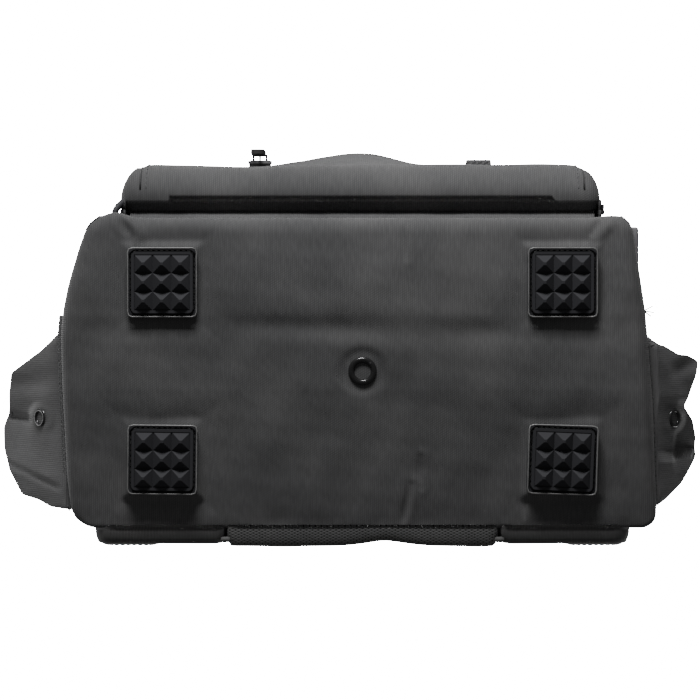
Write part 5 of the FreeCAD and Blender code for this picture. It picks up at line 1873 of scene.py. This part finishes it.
        mesh = pillow(outline, lambda d, u, v: 2.9 * round_edge(d, 4) + 0.3 * ripple(u, v, 30, 81),
                      lambda d, u, v: -10.0 * smooth(410, 419, v) - 1.0, place, 4.0, 3.0)
        add_piece("yoke_cloth", mesh, BACK, stands_for=["strap_yoke"])
        rows = []
        for inset in (3.2, 5.8):
            ring = round_polygon([(low[0] + inset, low[2] + inset), (high[0] - inset, low[2] + inset),
                                  (high[0] - inset, high[2] - inset), (low[0] + inset, high[2] - inset)],
                                 [2, 2, 7, 7], 2.6)
            ring = np.concatenate([ring, ring[:1]])
            path = np.stack([ring[:, 0], np.full(len(ring), high[1] - 0.4), ring[:, 1]], 1)
            rows.append((path, np.repeat([[0.0, 1.0, 0.0]], len(path), 0)))
        add_stitches("yoke_stitches", rows, BACK_THREAD)

    def build(self) -> None:
        """Builds both straps and the yoke."""
        for side in Side:
            self.make_strap(side)
            self.make_webbing(side)
        dress_node("sternum_rails", PLASTIC)
        self.make_yoke()


@dataclass
class SternumStrap:
    """Chest strap: webbing on both sides, clips on the rails and a side-release buckle."""

    thickness: float = 1.7

    def band(self, name: str, node: str, body: str, x0: float, x1: float) -> None:
        """Webbing between two places across.

        Args:
            name: Name of the piece.
            node: Frame node that it stands for.
            body: Body that it moves with.
            x0: Left end.
            x1: Right end.
        """
        low, high = span(node)
        middle_z = (low[2] + high[2]) / 2
        strap_low, strap_high = span("sternum_strap_right")
        y = float((strap_low[1] + strap_high[1]) / 2)
        path, facing = across_line((x0, y, middle_z), (x1, y, middle_z), (0, 1, 0), 50)
        add_piece(name, sweep(path, facing, flat_section(20.0, self.thickness)), WEBBING, body=body,
                  stands_for=[node])
        rows = []
        for end in (x0 + 4, x1 - 4):
            rows.append(across_line((end, y + self.thickness / 2, middle_z - 8),
                                    (end, y + self.thickness / 2, middle_z + 8), (0, 1, 0), 12))
        add_stitches(f"{name}_stitches", rows, WEB_THREAD, body=body, pitch=2.4, length=1.9)

    def build(self) -> None:
        """Builds the strap and dresses its hardware."""
        low, high = span("sternum_strap_right")
        self.band("chest_webbing_right", "sternum_strap_right", "buckle_tongue", float(low[0]),
                  float(high[0]))
        left_low, left_high = span("sternum_strap_left")
        self.band("chest_webbing_left", "sternum_strap_left", "sternum_left", float(left_low[0]) + 3,
                  float(left_high[0]))
        clip_low, clip_high = span("sternum_clip_right")
        mirrored_low = [-clip_high[0], clip_low[1], clip_low[2]]
        mirrored_high = [-clip_low[0], clip_high[1], clip_high[2]]
        clip = block(mirrored_low, mirrored_high, 2.2, 3.0)
        add_piece("sternum_clip_left", clip, PLASTIC, body="sternum_left")
        for name in ("sternum_clip_right", "buckle_socket", "buckle_tongue"):
            dress_node(name, PLASTIC)


@dataclass
class GrabHandle:
    """Handle of folded webbing with a padded sleeve, and the patches it is sewn to."""

    band: float = 20.0
    thickness: float = 4.2
    bend: float = 26.0

    def build(self) -> None:
        """Builds the handle, its sleeve, its anchors and their stitches."""
        low, high = span("grab_handle")
        y = float((low[1] + high[1]) / 2)
        half = float(high[0]) - self.band / 2
        base = float(low[2]) + 1.0
        grip_low, grip_high = span("handle_grip")
        top = float((grip_low[2] + grip_high[2]) / 2)
        arch = round_polygon([(-half, base), (-half + 9, top), (half - 9, top), (half, base)],
                             [0.1, self.bend, self.bend, 0.1], 1.5)
        start = int(np.argmin(np.hypot(arch[:, 0] + half, arch[:, 1] - base)))
        line = np.roll(arch, -start, axis=0)
        line = line[:int(np.argmin(np.hypot(line[:, 0] - half, line[:, 1] - base))) + 1]
        path = np.stack([line[:, 0], np.full(len(line), y), line[:, 1]], 1)
        facing = np.repeat([[0.0, 1.0, 0.0]], len(path), 0)
        width = np.interp(np.abs(path[:, 0]), [0, grip_high[0] + 4, half - 6, half], [0.72, 0.72, 1.0, 1.0])
        section = flat_section(self.band, self.thickness)
        add_piece("handle_webbing", sweep(path, facing, section, scale=width), WEBBING, body="grab_handle",
                  stands_for=["grab_handle"])
        inside = np.abs(path[:, 0]) < grip_high[0]
        core, front = path[inside], facing[inside]
        tall = float(grip_high[2] - grip_low[2])
        deep = float(grip_high[1] - grip_low[1])
        angles = np.linspace(0, 2 * math.pi, 28, endpoint=False)
        sleeve_section = np.stack([np.sign(np.cos(angles)) * np.abs(np.cos(angles)) ** 0.7 * tall / 2,
                                   np.sign(np.sin(angles)) * np.abs(np.sin(angles)) ** 0.7 * deep / 2], 1)
        s = np.linspace(-1, 1, len(core))
        swell = (0.84 + 0.16 * round_edge((1 - np.abs(s)) * 30, 7)) * (1 + 0.012 * np.sin(s * 40))
        sleeve = add_piece("handle_sleeve", sweep(core, front, sleeve_section, scale=swell), BACK,
                           body="grab_handle",
                           stands_for=["handle_grip"])
        z = float(grip_low[2]) + 2.2
        seam = across_line((-27, y + deep / 2 - 1.8, z), (27, y + deep / 2 - 1.8, z), (0, 0.8, -0.6), 40)
        other = across_line((-27, y - deep / 2 + 1.8, z), (27, y - deep / 2 + 1.8, z), (0, -0.8, -0.6), 40)
        rows = [seam, other]
        for sign in (-1, 1):
            for shift in (-7.0, 7.0):
                rows.append(across_line((sign * half + shift, y + self.thickness / 2, base + 3),
                                        (sign * (half - 4) + shift, y + self.thickness / 2, base + 16),
                                        (0, 1, 0), 14))
        add_stitches("handle_stitches", rows, WEB_THREAD, body="grab_handle", pitch=2.6, length=2.0)
        low, high = span("handle_anchors")
        patches, lines = [], []
        for sign in (-1, 1):
            x0, x1 = sorted((sign * (half - self.band / 2), sign * (half + self.band / 2)))
            top_z = float(high[2]) - 0.7
            patches.append(block([x0 - 4, low[1], low[2] - 1.5], [x1 + 4, high[1], top_z], 0.8, 2.5))
            for x in (x0 - 2.2, x1 + 2.2):
                lines.append(across_line((x, low[1] + 2, top_z), (x, high[1] - 2, top_z), (0, 0, 1), 16))
        add_piece("anchor_patches", merge(patches), WEBBING, stands_for=["handle_anchors"])
        add_stitches("anchor_stitches", lines, WEB_THREAD, pitch=2.2, length=1.7, radius=0.28)


# ------------------------------------------------------------------ inside

@dataclass
class Interior:
    """Padded dividers, laptop sleeve, linings and stiffening boards."""

    edge: float = 2.6

    def pad(self, name: str, low: Array, high: Array, stands_for: Sequence[str], seed: int,
            swell: float) -> None:
        """Padded board with puffed faces and a bound edge.

        Args:
            name: Name of the piece.
            low: Lowest corner.
            high: Highest corner.
            stands_for: Frame nodes that it replaces.
            seed: Seed of its unevenness.
            swell: How far its faces pull in at the seams.
        """
        points, faces = block(low, high, self.edge, 6.0)
        size = high - low
        thin = int(np.argmin(size))
        u, v = [axis for axis in range(3) if axis != thin]
        rim = np.minimum.reduce([points[:, u] - low[u], high[u] - points[:, u],
                                 points[:, v] - low[v], high[v] - points[:, v]])
        side = np.sign(points[:, thin] - (low[thin] + high[thin]) / 2)
        wave = 0.25 * ripple(points[:, u], points[:, v], 32, seed) * smooth(2, 12, rim)
        points[:, thin] -= side * (swell * smooth(11, 3.5, rim) + 0.3 - wave)
        piece = add_piece(name, (points, faces), LINING, stands_for=stands_for)

    def build(self) -> None:
        """Builds what the bag holds inside."""
        for side in Side:
            name = f"divider_upright_{side.word}"
            self.pad(f"upright_pad_{side.word}", *span(name), [name], 90 + side.value, 0.9)
        for column in ("left", "middle", "right"):
            name = f"dividers_{column}"
            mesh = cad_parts[name].data
            points = np.array([v.co for v in mesh.vertices]) / MM - ORIGIN
            levels = np.unique(np.round(points[:, 2], 1))
            shelves = [(levels[k], levels[k + 1]) for k in range(0, len(levels) - 1, 2)]
            low, high = points.min(0), points.max(0)
            for number, (z0, z1) in enumerate(shelves):
                inside = (points[:, 2] > z0 - 0.5) & (points[:, 2] < z1 + 0.5)
                if not inside.any():
                    continue
                at_low, at_high = points[inside].min(0), points[inside].max(0)
                stands = [name] if number == 0 else []
                outer = np.array([4.0 if column == "left" else 0.0, 5.0,
                                  0]), np.array([4.0 if column == "right" else 0.0, 0, 0])
                self.pad(f"cross_pad_{column}_{number + 1}", np.array([at_low[0], low[1], z0]) + outer[0],
                         np.array([at_high[0], high[1], z1]) - outer[1], stands, 95 + number, 0.9)
        low, high = span("laptop_sleeve")
        self.pad("sleeve_pad", low, high, ["laptop_sleeve"], 101, 0.6)
        low, high = span("back_lining")
        self.make_back_lining(low, high)
        low, high = span("bottom_lining")
        self.pad("bottom_lining_pad", low, high, ["bottom_lining"], 103, 0.4)
        self.trim()
        dress_node("bottom_board", BOARD)
        dress_node("back_board", BOARD)

    def make_back_lining(self, low: Array, high: Array) -> None:
        """Padded lining of the back with rounded shoulders.

        Args:
            low: Lowest corner of the lining.
            high: Highest corner.
        """
        half = float(high[0]) - 4
        outline = round_polygon([(-half, low[2]), (half, low[2]), (half - 16, high[2] - 6),
                                 (-half + 16, high[2] - 6)],
                                [5, 5, 56, 56], 4.0)
        middle = float(low[1] + high[1]) / 2
        thick = float(high[1] - low[1]) / 2 - 0.3

        def place(u: Array, v: Array, w: Array) -> Array:
            """Points of the lining; height goes inwards."""
            return np.stack([u, middle - w, v], -1)

        mesh = pillow(outline, lambda d, u, v: thick * round_edge(d, 3) + 0.15 * ripple(u, v, 40, 102),
                      lambda d, u, v: -thick * round_edge(d, 3), place, 3.0, 7.0)
        add_piece("back_lining_pad", mesh, LINING, stands_for=["back_lining"])

    def trim(self) -> None:
        """Binding tape over the front edges of the dividers and the sleeve's top."""
        bands = []
        for side in Side:
            low, high = span(f"divider_upright_{side.word}")
            x = (low[0] + high[0]) / 2
            path, facing = across_line((x, low[1] + 0.4, low[2] + 1), (x, low[1] + 0.4, high[2] - 1),
                                       (0, -1, 0), 60)
            bands.append(sweep(path, facing, flat_section(high[0] - low[0] + 0.3, 1.8)))
        low, high = span("laptop_sleeve")
        path, facing = across_line((low[0] + 4, (low[1] + high[1]) / 2, high[2] - 0.6),
                                   (high[0] - 4, (low[1] + high[1]) / 2, high[2] - 0.6), (0, 0, 1), 60)
        bands.append(sweep(path, facing, flat_section(high[1] - low[1] + 0.6, 2.2)))
        add_piece("divider_binding", merge(bands), LINING)


# ------------------------------------------------------------------ studio

@dataclass
class Studio:
    """Camera under the bag, pale floor and soft lights."""

    distance: float = 1.45
    forward: float = 23.66
    frame_width: float = 0.378
    sensor: float = 36.0
    centre_x: float = -6.75
    centre_y: float = -11.34
    plane_z: float = 8.0
    key_power: float = 26.0
    fill_strength: float = 0.13
    backdrop: float = 40.0

    def make_camera(self) -> None:
        """Camera that looks straight up at the bottom, with the front of the bag at the top of the view."""
        data = bpy.data.cameras.new("bottom_view")
        data.sensor_width = self.sensor
        data.lens = self.sensor * self.distance / self.frame_width
        data.clip_start, data.clip_end = 0.05, 40.0
        camera = bpy.data.objects.new("bottom_view", data)
        place = (np.array([self.centre_x, self.centre_y - self.forward, self.plane_z]) + ORIGIN) * MM
        camera.location = (place[0], place[1], place[2] - self.distance)
        camera.rotation_euler = (math.pi - math.atan(self.forward * MM / self.distance), 0.0, 0.0)
        bpy.context.scene.collection.objects.link(camera)
        bpy.context.scene.camera = camera

    def make_light(self, name: str, place: tuple, aim: tuple, size: tuple, power: float) -> None:
        """Soft area light.

        Args:
            name: Name of the light.
            place: Where it stands, in metres.
            aim: What it points at, in metres.
            size: Width and height, in metres.
            power: Power, in watts.
        """
        data = bpy.data.lights.new(name, "AREA")
        data.shape = "RECTANGLE"
        data.size, data.size_y = size
        data.energy = power
        light = bpy.data.objects.new(name, data)
        light.location = place
        light.rotation_euler = (Vector(aim) - Vector(place)).to_track_quat("-Z", "Y").to_euler()
        light.visible_camera = False
        bpy.context.scene.collection.objects.link(light)

    def make_floor(self) -> None:
        """Pale floor that shows only from above."""
        data = bpy.data.meshes.new("floor")
        s = 6.0
        data.from_pydata([(-s, -s, -0.0004), (s, -s, -0.0004), (s, s, -0.0004), (-s, s, -0.0004)], [],
                         [(0, 1, 2, 3)])
        material = bpy.data.materials.new("pale_floor")
        material.use_nodes = True
        w = Wiring(material.node_tree)
        shader = material.node_tree.nodes["Principled BSDF"]
        place = w.node("ShaderNodeTexCoord").outputs["Object"]
        tone = w.tint(w.noise(place, 3.0, 3.0), (0.62, 0.61, 0.60, 1), (0.68, 0.67, 0.66, 1))
        w.feed(shader.inputs["Base Color"], tone)
        shader.inputs["Roughness"].default_value = 0.75
        clear = w.node("ShaderNodeBsdfTransparent")
        mix = w.node("ShaderNodeMixShader", Fac=w.node("ShaderNodeNewGeometry").outputs["Backfacing"])
        w.feed(mix.inputs[1], shader.outputs[0])
        w.feed(mix.inputs[2], clear.outputs[0])
        w.feed(material.node_tree.nodes["Material Output"].inputs["Surface"], mix.outputs[0])
        data.materials.append(material)
        floor = bpy.data.objects.new("floor", data)
        floor.visible_shadow = floor.visible_diffuse = floor.visible_glossy = False
        bpy.context.scene.collection.objects.link(floor)

    def make_world(self) -> None:
        """Even pale surroundings, brighter where the camera sees them."""
        world = bpy.data.worlds.new("pale_room")
        world.use_nodes = True
        w = Wiring(world.node_tree)
        dim = w.node("ShaderNodeBackground", Color=(1, 1, 1, 1), Strength=self.fill_strength)
        bright = w.node("ShaderNodeBackground", Color=(1, 1, 1, 1), Strength=self.backdrop)
        mix = w.node("ShaderNodeMixShader", Fac=w.node("ShaderNodeLightPath").outputs["Is Camera Ray"])
        w.feed(mix.inputs[1], dim.outputs[0])
        w.feed(mix.inputs[2], bright.outputs[0])
        w.feed(world.node_tree.nodes["World Output"].inputs["Surface"], mix.outputs[0])
        bpy.context.scene.world = world

    def build(self) -> None:
        """Sets up the studio."""
        self.make_camera()
        self.make_floor()
        self.make_world()
        self.make_light("key_below", (-0.14, -1.25, -0.50), (0.0, 0.0, 0.02), (0.55, 0.34), self.key_power)
        self.make_light("key_above", (-0.9, -1.6, 1.7), (0.0, 0.0, 0.22), (1.4, 1.4), 24.0)
        self.make_light("fill_back", (1.2, 1.6, 1.5), (0.0, 0.0, 0.22), (1.6, 1.6), 30.0)
        self.make_light("fill_side", (-1.9, 0.4, 0.9), (0.0, 0.0, 0.22), (1.2, 1.2), 14.0)


def main() -> None:
    """Builds every sub-assembly in order."""
    logging.basicConfig(level=logging.INFO, format="%(message)s", stream=sys.stdout)
    Studio().build()
    shell = BodyShell()
    parts = [shell, Feet(), Drain(), SidePocket(Side.LEFT, shell), SidePocket(Side.RIGHT, shell),
             FrontDoor(shell),
             BackPadding(shell), Harness(shell), SternumStrap(), GrabHandle(), Interior()]
    for part in parts:
        LOG.info("building %s", type(part).__name__)
        part.build()


if __name__ == "__main__":
    main()
